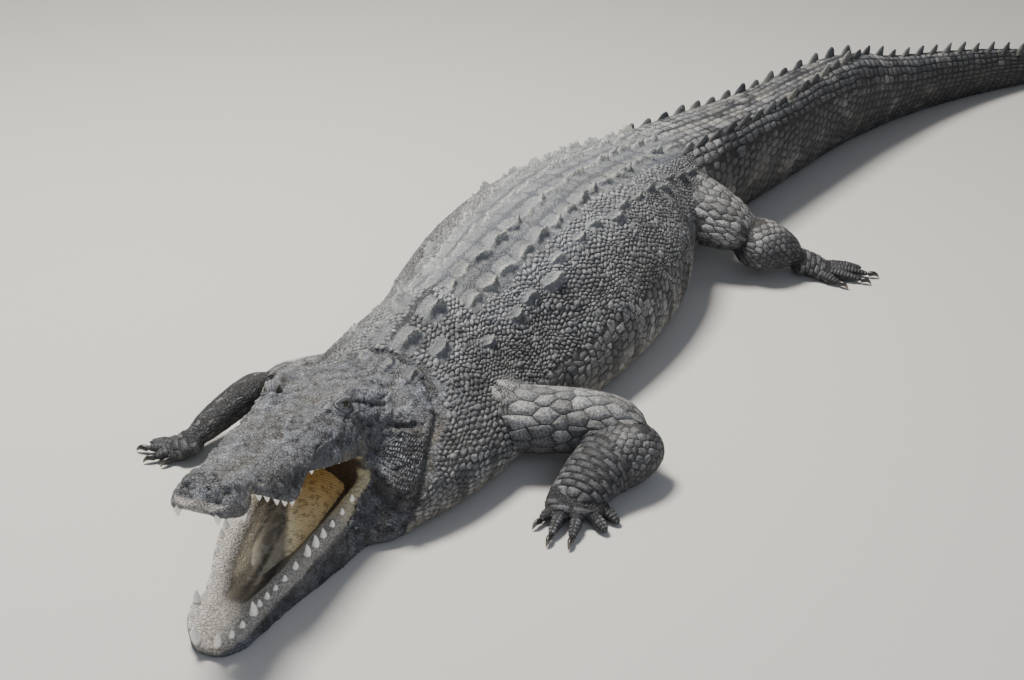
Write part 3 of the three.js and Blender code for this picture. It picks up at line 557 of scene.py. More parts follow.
def turn(axis, degrees):
    """3 by 3 rotation about one axis."""
    return np.array(Matrix.Rotation(math.radians(degrees), 3, axis))


SNOUT_TIP = np.array([114.0, -1186.0, 262.0])
HEAD_YAW, HEAD_PITCH, HEAD_ROLL, GAPE = 12.3, 14.3, 1.0, 24.3
JAW_JOINT = np.array([1.07, 0, -0.03]) * HEAD
ALONG_OUT_UP = np.array([[0, 1, 0], [1, 0, 0], [0, 0, 1.0]])  # head axes to the animal's own


def head_turn(pitch):
    """Yaw, then pitch, then roll, applied to the head's own axes: along, out and up."""
    return turn("Z", HEAD_YAW) @ turn("X", -pitch) @ turn("Y", HEAD_ROLL) @ ALONG_OUT_UP


skull_turn = head_turn(HEAD_PITCH)
joint_place = skull_turn @ JAW_JOINT + SNOUT_TIP
jaw_turn, jowl_turn = head_turn(HEAD_PITCH - GAPE), head_turn(HEAD_PITCH - GAPE / 2)
FRAMES = {"skull": (skull_turn, SNOUT_TIP), "jaw": (jaw_turn, joint_place - jaw_turn @ JAW_JOINT),
    "jowl": (jowl_turn, joint_place - jowl_turn @ JAW_JOINT)}


def from_head(local, which):
    """Places given in head lengths along, out and up, moved to the animal's frame in mm."""
    rotation, origin = FRAMES[which]
    return np.asarray(local) * HEAD @ rotation.T + origin


def to_head(points, which):
    """The way back: mm in the animal's frame to head lengths along, out and up."""
    rotation, origin = FRAMES[which]
    return (points - origin) @ rotation / HEAD


# %% [markdown]
# ## Skull, lower jaw and pouches
# Half profiles are given from the guides, mirrored and rounded, so that both sides of the head match.
# A jowl, a throat and a nape pouch fill in what muscle and loose skin fill on the living animal.
# %% Head lofts
palate_rise = head_guide((0, 4), (100, 8), (200, 28), (300, 30), (1120, 30))


def skull_half(x):
    """Half profile of the upper jaw and skull at x, from the top middle round to the palate."""
    w, lip, top, arch = skull_half_width(x), lip_height(x), skull_top(x), palate_rise(x)
    zero = np.zeros_like(x)
    return np.stack([np.stack([zero, brow_out(x) * 0.55, brow_out(x), cheek_out(x), w, 0.97 * w, 0.86 * w,
        0.72 * w, zero], -1), np.stack([top, (top + brow_up(x)) / 2, brow_up(x), cheek_up(x), lip + 0.35
        * (cheek_up(x) - lip), lip, lip + 0.002, lip + 0.74 * arch, lip + arch], -1)], -1)


def jaw_half(x):
    """Half profile of the lower jaw at x, from the throat round over the gum to the mouth floor."""
    w, top, bottom, throat = jaw_half_width(x), jaw_top(x), jaw_bottom(x), throat_half_width(x)
    deep = top - bottom
    inner = np.maximum(w - gum_thickness(x), w * 0.08)
    floor_height = np.minimum(mouth_floor(x), top - 0.004)
    zero = np.zeros_like(x)
    return np.stack([np.stack([zero, throat * 0.9, throat, (w + throat) / 2, w * 0.99, w * 0.93,
        inner + 0.25 * (w - inner), 0.8 * inner, zero], -1), np.stack([bottom, bottom + 0.02 * deep,
        bottom + 0.24 * deep, bottom + 0.6 * deep, top - 0.014, top, top - 0.004, floor_height + 0.2
        * (top - floor_height), floor_height], -1)], -1)


def head_table(half_profile, places, which, samples=6, pull=0.4):
    """Mirrors each half profile into a loop, rounds it with a Hermite curve and sets it in place."""
    half = half_profile(places)
    loop = np.concatenate([half, half[:, -2:0:-1] * [-1, 1]], axis=1)
    slope = (np.roll(loop, -1, axis=1) - np.roll(loop, 1, axis=1))[:, :, None] * pull
    a, b, end = loop[:, :, None], np.roll(loop, -1, axis=1)[:, :, None], np.roll(slope, -1, axis=1)
    t = (np.arange(samples) / samples)[None, None, :, None]
    curve = a + slope * t + (3 * (b - a) - 2 * slope - end) * t**2 + (2 * (a - b) + slope + end) * t**3
    curve = curve.reshape(len(places), -1, 2)
    x = np.broadcast_to(places[:, None], curve.shape[:2])
    table = from_head(np.concatenate([x[..., None], curve], -1), which)
    table[..., 2] = np.maximum(table[..., 2], FLOOR)
    return table


# Middle, half length, half width, reach up and reach down in head lengths, and the frame of each.
POUCHES = {"jowl": ((1.02, -0.02), 0.21, 0.272, 0.16, 0.24, "jowl"), "throat": ((0.84, -0.12), 0.24, 0.37,
    0.06, 0.12, "jaw"), "nape": ((1.0, 0.03), 0.15, 0.25, 0.13, 0.12, "skull")}


def pouch_table(middle, length, width, reach_up, reach_down, which, rows=60, columns=80):
    """Flattened ball: each of its three axes is raised to a power below one, which squares it."""
    across = np.linspace(0, np.pi, rows)[:, None]
    angle = np.linspace(0, 2 * np.pi, columns, endpoint=False)[None, :]
    ring = np.sin(across) ** 0.7
    reach = np.where(np.sin(angle) > 0, reach_up, reach_down)
    local = table_of(middle[0] + signed_power(np.cos(angle), 0.85) * ring * length,
        signed_power(np.cos(across), 0.8) * width, middle[1] + signed_power(np.sin(angle), 0.85) * ring
        * reach)
    table = from_head(local, which)
    table[..., 2] = np.maximum(table[..., 2], FLOOR)
    return table


SKULL_PLACES = np.concatenate([np.linspace(0, 0.06, 16), np.linspace(0.07, 1.12, 150)])
JAW_PLACES = np.concatenate([np.linspace(-0.005, 0.06, 16), np.linspace(0.07, 1.14, 150)])
skull_table = head_table(skull_half, SKULL_PLACES, "skull")
lower_jaw_table = head_table(jaw_half, JAW_PLACES, "jaw")
print("skull", skull_table.shape, "jaw", lower_jaw_table.shape)


# %% [markdown]
# ## One hide from many lofts
# Real skin runs on from the neck into the leg with no edge. A boolean union would leave sharp creases
# where the lofts cross, so the Remesh modifier in Voxel mode melts them together, and the joints are
# then relaxed: each point moves part of the way to the middle of its neighbours. The head is melted
# finer than the rest, and the two shells meet inside the deep fold behind the jaw.
# %% Melting and relaxing
def melt(tables, voxel):
    """Closes each table at both ends, joins them and wraps them in one skin of voxel mm."""
    points, faces, start = [], [], 0
    for table in tables:
        closed = capped(table)
        points.append(closed.reshape(-1, 3))
        faces.append(grid_faces(*closed.shape[:2], wrap=True) + start)
        start += len(points[-1])
    rough = mesh_object("rough", np.concatenate(points), [np.concatenate(faces)])
    wrap = rough.modifiers.new("wrap", "REMESH")
    wrap.mode = "VOXEL"
    wrap.voxel_size = voxel * 0.001
    return read_back(rough)


def relax(points, faces, weight, rounds):
    """Moves each point towards the mean of the points it shares an edge with, by its weight."""
    a, b = faces.ravel(), np.roll(faces, -1, axis=1).ravel()
    count = np.bincount(a, minlength=len(points)) + np.bincount(b, minlength=len(points))
    for _ in range(rounds):
        total = np.stack([np.bincount(a, points[b, k], len(points)) + np.bincount(b, points[a, k],
            len(points)) for k in range(3)], -1)
        points = points + (total / count[:, None] - points) * np.asarray(weight)[..., None]
    return points


def normals_of(points, faces):
    """Normal at each point: the sum of the cross products of its faces' diagonals."""
    across = points[faces[:, 2]] - points[faces[:, 0]]
    along = points[faces[:, -1]] - points[faces[:, 1]]
    facing = np.cross(across, along)
    total = np.stack([sum(np.bincount(faces[:, c], facing[:, k], len(points))
        for c in range(faces.shape[1])) for k in range(3)], -1)
    return unit(total)


def thin(points, faces, wanted):
    """Collapses the least useful edges until about the wanted number of triangles is left."""
    dense = mesh_object("dense", points, [faces])
    thinner = dense.modifiers.new("thin", "DECIMATE")
    thinner.ratio = wanted / (len(faces) * 2)
    thinner.use_collapse_triangulate = True
    return read_back(dense)


def from_line(points, line):
    """Distance from each point to the nearest place on a line of straight pieces."""
    best = np.full(len(points), 1e9)
    for a, b in zip(line[:-1], line[1:]):
        t = clamp((points - a) @ (b - a) / ((b - a) @ (b - a)))[:, None]
        best = np.minimum(best, size_of(points - a - t * (b - a)))
    return best


def mirrored(places):
    """A line of head places given in thousandths, and its mirror image unless it runs down the middle."""
    line = np.array(places) / 1000
    return [line, line * [1, -1, 1]] if line[:, 1].any() else [line]


# %% [markdown]
# ## The body's own shell
# Body and legs are melted in one, and loosened most about the joints. Behind the left foreleg the skin
# hangs in arcs like drapery, and behind the jaw it is drawn into a fold.
# %% The body's hide
NECK_JOIN = -590.0
RING_HALF = 72  # columns of half a ring
BODY_VOXEL, HEAD_VOXEL = 4.5, 2.7
BODY_FACES, HEAD_FACES = 84000, 112000
LOWEST = 0.5  # the hide stays this far off the floor, in mm
body_rings, _ = body_table(np.linspace(NECK_JOIN, TAIL_TIP, 420), RING_HALF, -COAT)
limb_tables = [table[:, :-1] for table, _ in tubes.values()]
hide_points, hide_faces = melt([body_rings[:, :-1]] + limb_tables, BODY_VOXEL)
JOINTS = [((205, -480, 110), 110), ((430, -400, 70), 60), ((-190, -500, 80), 90), ((-238, -592, 82), 40),
    ((215, 405, 150), 110), ((300, 410, 100), 60), ((-200, 395, 95), 90), ((-220, 385, 80), 50)]
blend = np.full(len(hide_points), 0.12)
for place, reach in JOINTS:
    away = size_of(hide_points - np.array(place))
    blend = np.maximum(blend, 0.7 * smooth(reach * 1.3, reach * 0.6, away))
hide_points = relax(hide_points, hide_faces, blend, 14)
from_shoulder = size_of((hide_points - [225, -478, 118]) * [1, 1, 0.9])
fold_zone = smooth(74, 92, from_shoulder) * smooth(200, 130, from_shoulder) * smooth(-520, -470,
    hide_points[:, 1])
fold_zone = fold_zone * smooth(60, 100, hide_points[:, 2])
for tube_name in ("fore_left_upper", "fore_left_lower"):
    fold_zone = np.where(inside_tube(hide_points, tubes[tube_name][1], 14.0), 0, fold_zone)
sway = from_shoulder + 5 * noise(hide_points, 60.0, 6)
hide_points = hide_points + normals_of(hide_points, hide_faces) * (2.2 * fold_zone * np.sin(sway * 2
    * np.pi / 21))[:, None]
NECK_FOLD = mirrored([(1100, 300, 175), (1079, 373, 114), (1016, 418, 26), (949, 434, -39)])
for fold in NECK_FOLD:
    away = from_line(to_head(hide_points, "skull"), fold) * HEAD
    hide_points = hide_points - normals_of(hide_points, hide_faces) * (6 * bell(away, 9))[:, None]
hide_points[:, 2] = np.maximum(hide_points[:, 2], LOWEST)
print("body hide", len(hide_points), "points before thinning")

# %% [markdown]
# ## The head's hide
# A crocodile's head skin lies tight on pitted bone. The folds, slits and knobs are worked into the
# melted shell by moving its points along their normals: a groove follows a line of places on the head
# and dies away as exp(-(distance/width)^2), and a knob does so from one place.
# %% Grooves, ridges and knobs
neck_rings = body_table(np.linspace(BODY_FRONT, NECK_JOIN + 28, 60), RING_HALF, -COAT)[0][:, :-1]
head_points, head_faces = melt([skull_table, lower_jaw_table, neck_rings] + [pouch_table(*pouch)
    for pouch in POUCHES.values()], HEAD_VOXEL)
head_points = relax(head_points, head_faces, np.full(len(head_points), 0.5), 3)
skull_local, jaw_local = to_head(head_points, "skull"), to_head(head_points, "jaw")
behind_mouth = smooth(0.84, 0.92, skull_local[:, 0]) * smooth(-0.01, 0.03, skull_local[:, 2]
    - lip_height(skull_local[:, 0])) * smooth(1.3, 1.15, skull_local[:, 0])
on_table = smooth(0.160, 0.172, skull_local[:, 2]) * smooth(0.97, 0.95, skull_local[:, 0])
temple = smooth(0.785, 0.81, skull_local[:, 0]) * smooth(1.02, 0.96, skull_local[:, 0]) * smooth(0.075,
    0.095, skull_local[:, 2]) * smooth(0.19, 0.17, skull_local[:, 2])
under_jaw = smooth(0.52, 0.66, jaw_local[:, 0]) * smooth(-0.02, -0.05, jaw_local[:, 2])
under_jaw = under_jaw * smooth(0.13, 0.17, np.abs(jaw_local[:, 1]))
blend = 0.65 * clamp(np.maximum(np.maximum(behind_mouth * (1 - on_table), under_jaw), temple))
head_points = relax(head_points, head_faces, blend, 70)
facing = normals_of(head_points, head_faces)
skull_local, jaw_local = to_head(head_points, "skull"), to_head(head_points, "jaw")
x, out, rise = skull_local.T
size = np.abs(out)
move = np.zeros(len(head_points))

# Height in mm; width and places (along, out and up in the skull's frame) in thousandths of the head.
CREASES = [("nostril slit", -7.0, 8, [(68, 14, 86), (78, 22, 88), (92, 20, 86)]), ("slit behind the eye",
    -6.0, 6.5, [(745, 140, 146), (808, 159, 134), (846, 179, 121), (899, 200, 107)]), ("temple", 5.0, 30,
    [(800, 150, 150), (880, 175, 140), (950, 190, 130)]), ("ear flap", 3.5, 14, [(778, 122, 166),
    (829, 140, 168), (886, 155, 160), (955, 158, 152)]), ("brow ridge", 4.5, 14, [(620, 86, 142),
    (680, 104, 156), (740, 112, 168), (800, 120, 174)]), ("lower rim of the eye", 3.0, 10,
    [(668, 112, 134), (690, 146, 118), (750, 158, 118), (800, 170, 118)]), ("ridge before the eye", 3.5,
    14, [(440, 70, 105), (540, 88, 122), (630, 96, 138)]), ("snout ridge", 2.6, 18, [(140, 45, 78),
    (260, 52, 78), (400, 62, 95)]), ("hollow between the ridges", -2.5, 35, [(160, 0, 72), (300, 0, 82),
    (460, 0, 112)]), ("cheek bar", 5.0, 22, [(790, 185, 105), (891, 212, 90), (934, 245, 81),
    (955, 280, 72)]), ("jaw muscle slit", -7.0, 8, [(885, 225, 46), (902, 261, 44), (932, 300, 48)]),
    ("fold at the mouth corner", 5.0, 14, [(735, 198, 20), (755, 202, -30), (772, 201, -75)]),
    ("crack at the mouth corner", -4.5, 8, [(779, 205, -84), (790, 250, -80), (805, 316, -66),
    (840, 350, -50)]), ("jowl fold", -3.5, 10, [(772, 300, -150), (775, 345, -150), (800, 372, -150)]),
    ("throat fold", -4.0, 10, [(783, 372, -182), (800, 330, -215), (800, 270, -220)]), ("snout notch",
    -4.0, 16, [(172, 98, 30), (176, 100, 4)])]
NECK_CREASE = [(1100, 0, 222), (1097, 120, 224), (1079, 177, 210), (1083, 227, 200), (1074, 277, 168),
    (1043, 321, 121), (992, 356, 64), (925, 368, 5), (869, 380, -60), (818, 384, -130), (783, 378, -182),
    (779, 345, -254)]
CREASES.append(("neck crease", -8.5, 13, NECK_CREASE))


def fold_height(local):
    """Sum over the creases of height * exp(-(distance / width)^2), in mm."""
    return sum(height * bell(from_line(local, line), width / 1000) for _, height, width, places in CREASES
        for line in mirrored(places))


move += fold_height(skull_local)
KNOBS = [((45, 32, 66), 2.5, 30), ((955, 150, 160), 3.5, 22), ((305, 120, 20), 3.0, 50), ((340, 145, -30),
    3.0, 30), ((660, 100, 150), 3.0, 20), ((560, 0, 130), 3.0, 60), ((100, 100, 0), 2.0, 20),
    ((34, -50, 56), -5.0, 8), ((31, 27, 60), -5.0, 8), ((891, 38, 172), -3.0, 9), ((250, 100, 30), -2.5,
    30), ((470, 120, 60), -3.0, 40)]
for place, height, width in KNOBS:
    for side in (1, -1) if height > 0 else (1,):
        away = size_of(skull_local - np.array(place) / 1000 * [1, side, 1])
        move += height * bell(away, width / 1000)
nose_disc = np.hypot((x - 0.080) / 0.026, (out - 0.006) / 0.042)
move += smooth(0.03, 0.05, rise) * (2.5 * smooth(1.05, 0.7, nose_disc) - 4.5 * bell(nose_disc - 1, 0.14))
to_eye = size_of(np.stack([x, size, rise], -1) - EYE_PLACE)
move -= 5.0 * np.exp(-((to_eye / 0.036) ** 4))
lids_round = np.sin((to_eye - 0.04) * 2 * np.pi / 0.017) * smooth(0.040, 0.046, to_eye) * smooth(0.085,
    0.06, to_eye)
move += 1.0 * lids_round * smooth(0.76, 0.70, x)
bony = smooth(0.02, 0.05, rise - lip_height(x)) * smooth(1.10, 1.0, x)
rugged = 1 - np.abs(noise(head_points, 17.0, 1))
lumps = 2.0 * noise(head_points, 24.0, 5) + 2.5 * noise(head_points, 11.0, 2) + 1.3 * noise(head_points,
    6.5, 3)
move += (0.30 + 0.70 * bony) * lumps - bony * 3.0 * rugged**6
wrinkle_run = jaw_local[:, 0] * HEAD + 7 * noise(head_points, 30.0, 3)
side_wrinkles = smooth(0.50, 0.66, x) * smooth(0.14, 0.06, rise) * smooth(1.06, 1.0, x)
move += side_wrinkles * 1.5 * np.sin(wrinkle_run * 2 * np.pi / 9.0) * (0.5 + 0.5 * noise(head_points, 14.0,
    4))
head_points = head_points + facing * move[:, None]
head_points[:, 2] = np.maximum(head_points[:, 2], LOWEST)
head_points, head_faces = thin(head_points, head_faces, HEAD_FACES)
hide_points, hide_faces = thin(hide_points, hide_faces, BODY_FACES)
print("head hide", len(head_points), "points,", len(CREASES), "kinds of crease,", len(KNOBS), "knobs")

# %% [markdown]
# The inside of the mouth is bare: a grey-pink gum shelf outside, a brown trough within, and a golden
# lining at the back. Each point of the hide carries how much of each it is, and the paint reads that.
# %% Marks on the hide
def body_round(points):
    """How far round the body a point is: 0 along the top of the back, 1 under the belly."""
    y = points[:, 1]
    rise = points[:, 2] - body_widest(y)
    height, _ = half_ring(y, rise > 0)
    out = np.abs(points[:, 0] - body_middle(y) - tail_lean(y) * points[:, 2]) / body_half_width(y)
    return np.abs(np.arctan2(out, rise / height)) / np.pi


def marks_at(points, limb=False):
    """Markings, the same for hide and scales: pale below, warm on the flanks, darker on the limbs and most
    low down, darker on the hind tail, in soft blotches, and darker on the upper flank as painted shade."""
    y = points[:, 1]
    girdle = body_round(points)
    blotch = noise(points, 90.0, 11) * 0.6 + noise(points, 35.0, 12) * 0.4
    if limb:
        pale = smooth(60, 20, points[:, 2]) * 0.1 + 0.10 * blotch
        warm = 0.25 + 0.2 * blotch
        low_down = 0.68 * smooth(138, 88, points[:, 2]) + 0.20 * smooth(60, 30, points[:, 2])
        dark_tone_and_shade = 0.26 + low_down + 0.5 * blotch + 0.35 * noise(points, 18.0, 16)
    else:
        pale = 0.45 * smooth(0.42, 0.72, girdle) * smooth(900, 500, y) + 0.22 * blotch
        warm = 0.30 * smooth(0.15, 0.40, girdle) + 0.25 * smooth(0.5, 0.7, girdle) + 0.2 * blotch
        warm = warm + 0.7 * smooth(-520, -600, y) * smooth(0.62, 0.80, girdle)
        # Painted shade: the upper flank below the edge of the back is darkened as if turned from the light.
        # The tail behind the hips, its rear and the top of the neck are darker too.
        dark_tone_and_shade = 0.62 * smooth(0.14, 0.27, girdle) + 0.40 * smooth(450, 620, y) + 0.25 * smooth(1500, 1900, y)
        dark_tone_and_shade = dark_tone_and_shade + 0.45 * smooth(-430, -500, y) * smooth(0.30, 0.10, girdle)
        low_flank = smooth(0.38, 0.50, girdle) * smooth(0.72, 0.64, girdle) * smooth(460, 380, y)
        stain = smooth(0.05, 0.45, noise(points * [0.4, 1.0, 0.16], 15.0, 14))
        tail_mottle = smooth(478, 560, y) * noise(points * [1.0, 0.8, 0.6], 26.0, 15)
        pale = pale + 0.5 * smooth(0.58, 0.70, girdle) * smooth(460, 380,
            y) + 0.6 * np.maximum(tail_mottle, 0)
        dark_tone_and_shade = dark_tone_and_shade * (1 - 0.6 * smooth(0.40, 0.6, girdle) * smooth(700, 400, y)) + 0.30 * blotch
        dark_tone_and_shade = dark_tone_and_shade + 0.25 * noise(points, 20.0, 17)
        dark_tone_and_shade = dark_tone_and_shade + 0.6 * stain * low_flank - 0.6 * tail_mottle
    return {"pale": clamp(pale), "warm": clamp(warm), "dark_tone_and_shade": clamp(dark_tone_and_shade)}


skull_local, jaw_local = to_head(head_points, "skull"), to_head(head_points, "jaw")
facing = normals_of(head_points, head_faces)
x, out, rise = jaw_local.T
size = np.abs(out)
skull_x, skull_rise = skull_local[:, 0], skull_local[:, 2] - lip_height(skull_local[:, 0])
inner = np.maximum(jaw_half_width(x) - gum_thickness(x), 0.02)
within = smooth(0.985, 0.955, size / jaw_half_width(x)) * smooth(0.93, 0.89, x) * smooth(0.03, 0.015,
    rise - jaw_top(x)) * smooth(-0.02, -0.008, rise - mouth_floor(x))
trough = smooth(1.04, 0.90, size / inner) * smooth(0.17, 0.23, x)
palate = smooth(0.95, 0.86, np.abs(skull_local[:, 1]) / skull_half_width(skull_x)) * smooth(0.042, 0.034,
    skull_rise) * smooth(-0.05, -0.02, skull_rise) * smooth(1.0, 0.95, skull_x) * (rise > jaw_top(x)
    + 0.02)
throat_wall = smooth(0.66, 0.72, x) * smooth(1.0, 0.96, x) * smooth(0.190, 0.168, size) * smooth(-0.09,
    -0.07, rise) * smooth(0.045, 0.03, skull_rise) * (facing @ FRAMES["jaw"][0][:, 0] < 0.2)
# Painted light: the outer top edge of the lower jaw takes the pale gum colour, partly a real pale band and
# partly light falling on the edge.
lip_band = smooth(-0.040, -0.022, rise - jaw_top(x)) * smooth(0.03, 0.015,
    rise - jaw_top(x)) * smooth(0.72, 0.62, x)
lip_band = lip_band * smooth(0.90, 0.96, size / jaw_half_width(x))
gum = clamp(np.maximum(np.maximum(within * (1 - trough), palate), 0.85 * lip_band))
lining = clamp(np.maximum(within * trough, throat_wall * (1 - gum)))
corner_line = np.array([(0.735, 0.198, 0.020), (0.772, 0.201, -0.085)])
one_side = np.stack([skull_x, np.abs(skull_local[:, 1]), skull_local[:, 2]], -1)
corner = bell(from_line(one_side, corner_line), 0.018)
head_marks = marks_at(head_points)
head_marks["pale"] = clamp(0.12 + 0.20 * noise(head_points, 40.0, 21) + 0.6 * corner)
cream = np.where(gum > 0.3, smooth(0.55, 0.68, x), 0)
orange_line = np.array([(0.50, -0.062, 0), (0.60, -0.084, 0), (0.72, -0.10, 0)])
far_streak = bell(from_line(jaw_local * [1, 1, 0], orange_line), 0.012)
amber = np.where(lining > 0.3, np.maximum(smooth(0.66, 0.84, x), far_streak), 0)
skin_warm = 0.10 + 0.5 * smooth(0.80, 0.95, skull_x) * smooth(0.12, 0.0, skull_local[:, 2]) + 0.2 * noise(
    head_points, 50.0, 22) + 0.5 * corner
head_marks["warm"] = clamp(np.where(gum + lining > 0.3, cream + amber, skin_warm))
muzzle = bell(skull_x - 0.31, 0.10) * smooth(0.08, 0.03, skull_local[:, 2])
head_marks["dark_tone_and_shade"] = clamp(0.10 + 0.25 * smooth(0.03, -0.02, skull_local[:, 2] - cheek_up(skull_x))
    * smooth(0.2, 0.3, skull_x) + 0.15 * muzzle + 0.10 * (rise < jaw_top(x) - 0.015) + 0.25
    * noise(head_points, 30.0, 23))
head_marks.update(gum=gum, lining=lining)
print("gum points", int((gum > 0.5).sum()), "lining points", int((lining > 0.5).sum()))

# %% [markdown]
# ## The finish of the hide
# Crocodile hide is horny keratin over leather: dry, matt and charcoal on top, with near-black creases
# and a dusting of grey mud and green-brown algae. It is painted darker in its creases and hollows and
# paler on whatever stands proud, partly as dust and wear and partly as painted shade and painted
# highlight. The same node group of colours serves the hide and the scales, so that they carry the same
# markings.
# %% Keratin and leather
def smoothness(tree, value, low, high):
    """S-shaped rise of a socket from 0 at low to 1 at high."""
    return add(tree, "MapRange", {"Value": value, "From Min": low, "From Max": high},
        interpolation_type="SMOOTHSTEP").outputs["Result"]


def mixed(tree, share, a, b, blend="MIX"):
    """Mix of two colours, each a hex code or a socket; the share may be a number or a socket."""
    a, b = [linear(colour) if isinstance(colour, str) else colour for colour in (a, b)]
    return add(tree, "Mix", {"Factor": share, 6: a, 7: b}, data_type="RGBA", blend_type=blend).outputs[2]


def times_plus(tree, a, b, c):
    """a * b + c of numbers or sockets."""
    return add(tree, "Math", {0: a, 1: b, 2: c}, operation="MULTIPLY_ADD").outputs[0]


def times(tree, a, b):
    """Product of two numbers or sockets, kept between 0 and 1."""
    return add(tree, "Math", {0: a, 1: b}, operation="MULTIPLY", use_clamp=True).outputs[0]


def mark_of(tree, name):
    """The value of one of the piece's named marks."""
    return add(tree, "Attribute", attribute_name=name).outputs["Fac"]


def between(tree, value, low, high):
    """Straight rise of a socket from low to high while the value goes from 0 to 1."""
    return add(tree, "MapRange", {"Value": value, "To Min": low, "To Max": high}).outputs["Result"]


def hide_material(name, crease, body, crown, crack_mm, cracked, grain_mm, bump_mm, mouth=False):
    """Dusty keratin. Colour goes from crease to body to crown with the mark worn, which is partly wear and
    dust and partly painted shade in hollows and painted highlight on what stands proud; then the marks
    pale, warm and dusk tint it, and dusk is partly painted shade; tint varies it from scale to scale. Its
    relief is a net of cracks, which is the distance to the nearest edge of wandering Voronoi cells, over
    a fine noise grain."""
    material, tree, shader = new_material(name, {"IOR": 1.5, "Specular IOR Level": 0.45})
    place = add(tree, "TexCoord").outputs["Object"]
    grain = cloudy(tree, 1000 / grain_mm, 5.0, Roughness=0.62)
    broad = cloudy(tree, 1000 / 45.0, 4.0)
    stray = cloudy(tree, 1000 / (2.4 * crack_mm), 1.0)
    wander = add(tree, "VectorMath", {0: stray.outputs["Color"], 1: (0.0012 * crack_mm,) * 3, 2: place},
        operation="MULTIPLY_ADD")
    cells, cell_tone = [add(tree, "TexVoronoi", {"Vector": wander.outputs[0], "Scale": 1000 / crack_mm},
        feature=feature) for feature in ("DISTANCE_TO_EDGE", "F1")]
    crack = smoothness(tree, cells.outputs["Distance"], 0.17, 0.02)
    specks = smoothness(tree, grain.outputs["Fac"], 0.40, 0.62)
    worn, pale, warm, dark_tone_and_shade, tint = [mark_of(tree, mark) for mark in ("worn", "pale", "warm", "dark_tone_and_shade", "tint")]
    colour = mixed(tree, smoothness(tree, worn, 0.10, 0.55), crease, body)
    colour = mixed(tree, times(tree, smoothness(tree, worn, 0.50, 1.0), specks), colour, crown)
    colour = mixed(tree, times(tree, specks, 0.40), colour, mixed(tree, 0.6, colour, crown))
    cell_shade = times(tree, smoothness(tree, cell_tone.outputs["Color"], 0.2, 0.9), 0.30 * cracked)
    colour = mixed(tree, cell_shade, colour, crown)
    colour = mixed(tree, times(tree, pale, 0.8), colour, "#8f8a7e")
    colour = mixed(tree, times(tree, warm, times(tree, broad.outputs["Fac"], 1.1)), colour, "#6f6650")
    colour = mixed(tree, times(tree, dark_tone_and_shade, 0.85), colour, mixed(tree, 1.0, colour, "#4c505e", "MULTIPLY"))
    colour = mixed(tree, times(tree, crack, 0.55 * cracked), colour, crease)
    darkest, lightest = (0.88, 1.12) if mouth else (0.72, 1.32)
    colour = mixed(tree, 1.0, colour, between(tree, tint, darkest, lightest), "MULTIPLY")
    if mouth:
        gums = mixed(tree, warm, mixed(tree, specks, "#86827c", "#bdb8b0"), "#cbbf9c")
        brown = mixed(tree, specks, "#1c1108", "#5a3c1a")
        trough = mixed(tree, warm, mixed(tree, tint, "#3b3730", "#8b8371"), brown)
        colour = mixed(tree, mark_of(tree, "gum"), colour, gums)
        colour = mixed(tree, mark_of(tree, "lining"), colour, trough)
    tree.links.new(colour, shader.inputs["Base Color"])
    tree.links.new(between(tree, grain.outputs["Fac"], 0.78, 0.46), shader.inputs["Roughness"])
    bump(tree, shader, times_plus(tree, crack, -cracked, grain.outputs["Fac"]), 1.0, bump_mm * 0.001)
    return material


# In all three, the crown colour on what stands proud is partly dust and wear and partly painted highlight,
# and the crease colour in hollows is partly painted shade.
bare_hide = hide_material("dry cracked hide, charcoal", "#121215", "#565a62", "#a3a6ac", 6.5, 0.6, 3.5,
    2.4, mouth=True)
horny_scale = hide_material("horny keratin scale, dusty", "#151516", "#616367", "#a9aaa9", 7.0, 0.35, 4.0,
    1.1)
keel_horn = hide_material("weathered keel horn, algae and painted highlight on top", "#1c1d21", "#6c7077", "#b7b7ab", 9.0, 0.4,
    4.0, 1.3)

# %% [markdown]
# ## Join the hide
# Both shells go into one mesh, so that one skin stands for every node of flesh.
# %% The hide
shells = np.concatenate([head_points, hide_points])
hide_marks = marks_at(hide_points)
limb_near = np.zeros(len(hide_points), bool)
for tube_name, (_, shape) in tubes.items():
    limb_near |= inside_tube(hide_points, shape, 4.0)
limb_marks = marks_at(hide_points, limb=True)
hide_marks = {key: np.where(limb_near, limb_marks[key], hide_marks[key]) for key in hide_marks}
hide_marks.update(gum=np.zeros(len(hide_points)), lining=np.zeros(len(hide_points)))
all_marks = {key: np.concatenate([head_marks[key], hide_marks[key]]) for key in hide_marks}
# Painted light and shade: on the head the mark worn follows the same noise as the lumps and the crease
# heights, so the hide is painted darker in its grooves, slits and pits and lighter on its lumps and ridges.
# On the body the hide is painted near-black where it shows only between the scales, partly the darker skin
# there and partly painted shade, and keeps its body colour along the top of the back.
relief = noise(head_points, 11.0, 2) + 0.5 * noise(head_points, 6.5, 3) - 0.9 * (1
    - np.abs(noise(head_points, 17.0, 1)))**6
all_marks["worn"] = np.concatenate([clamp(0.52 + 0.42 * relief + 0.2 * noise(head_points, 12.0, 31) + 0.10
    * fold_height(to_head(head_points, "skull"))), np.where(limb_near, 0.14, 0.10 + 0.42 * smooth(0.23,
    0.18, body_round(hide_points)) * smooth(-440, -400, hide_points[:, 1]) * smooth(480, 440,
    hide_points[:, 1]))])
streak_places = np.stack([out * HEAD, x * HEAD * 0.10, 0 * x], -1)
head_tint = np.where(gum + lining > 0.3, 0.5 + 0.6 * noise(streak_places, 9.0, 33), 0.5 + 0.25
    * noise(head_points, 60.0, 34))
all_marks["tint"] = clamp(np.concatenate([head_tint, np.full(len(hide_points), 0.5)]))
hide = mesh_object("hide", shells, [np.concatenate([head_faces, hide_faces + len(head_points)])])
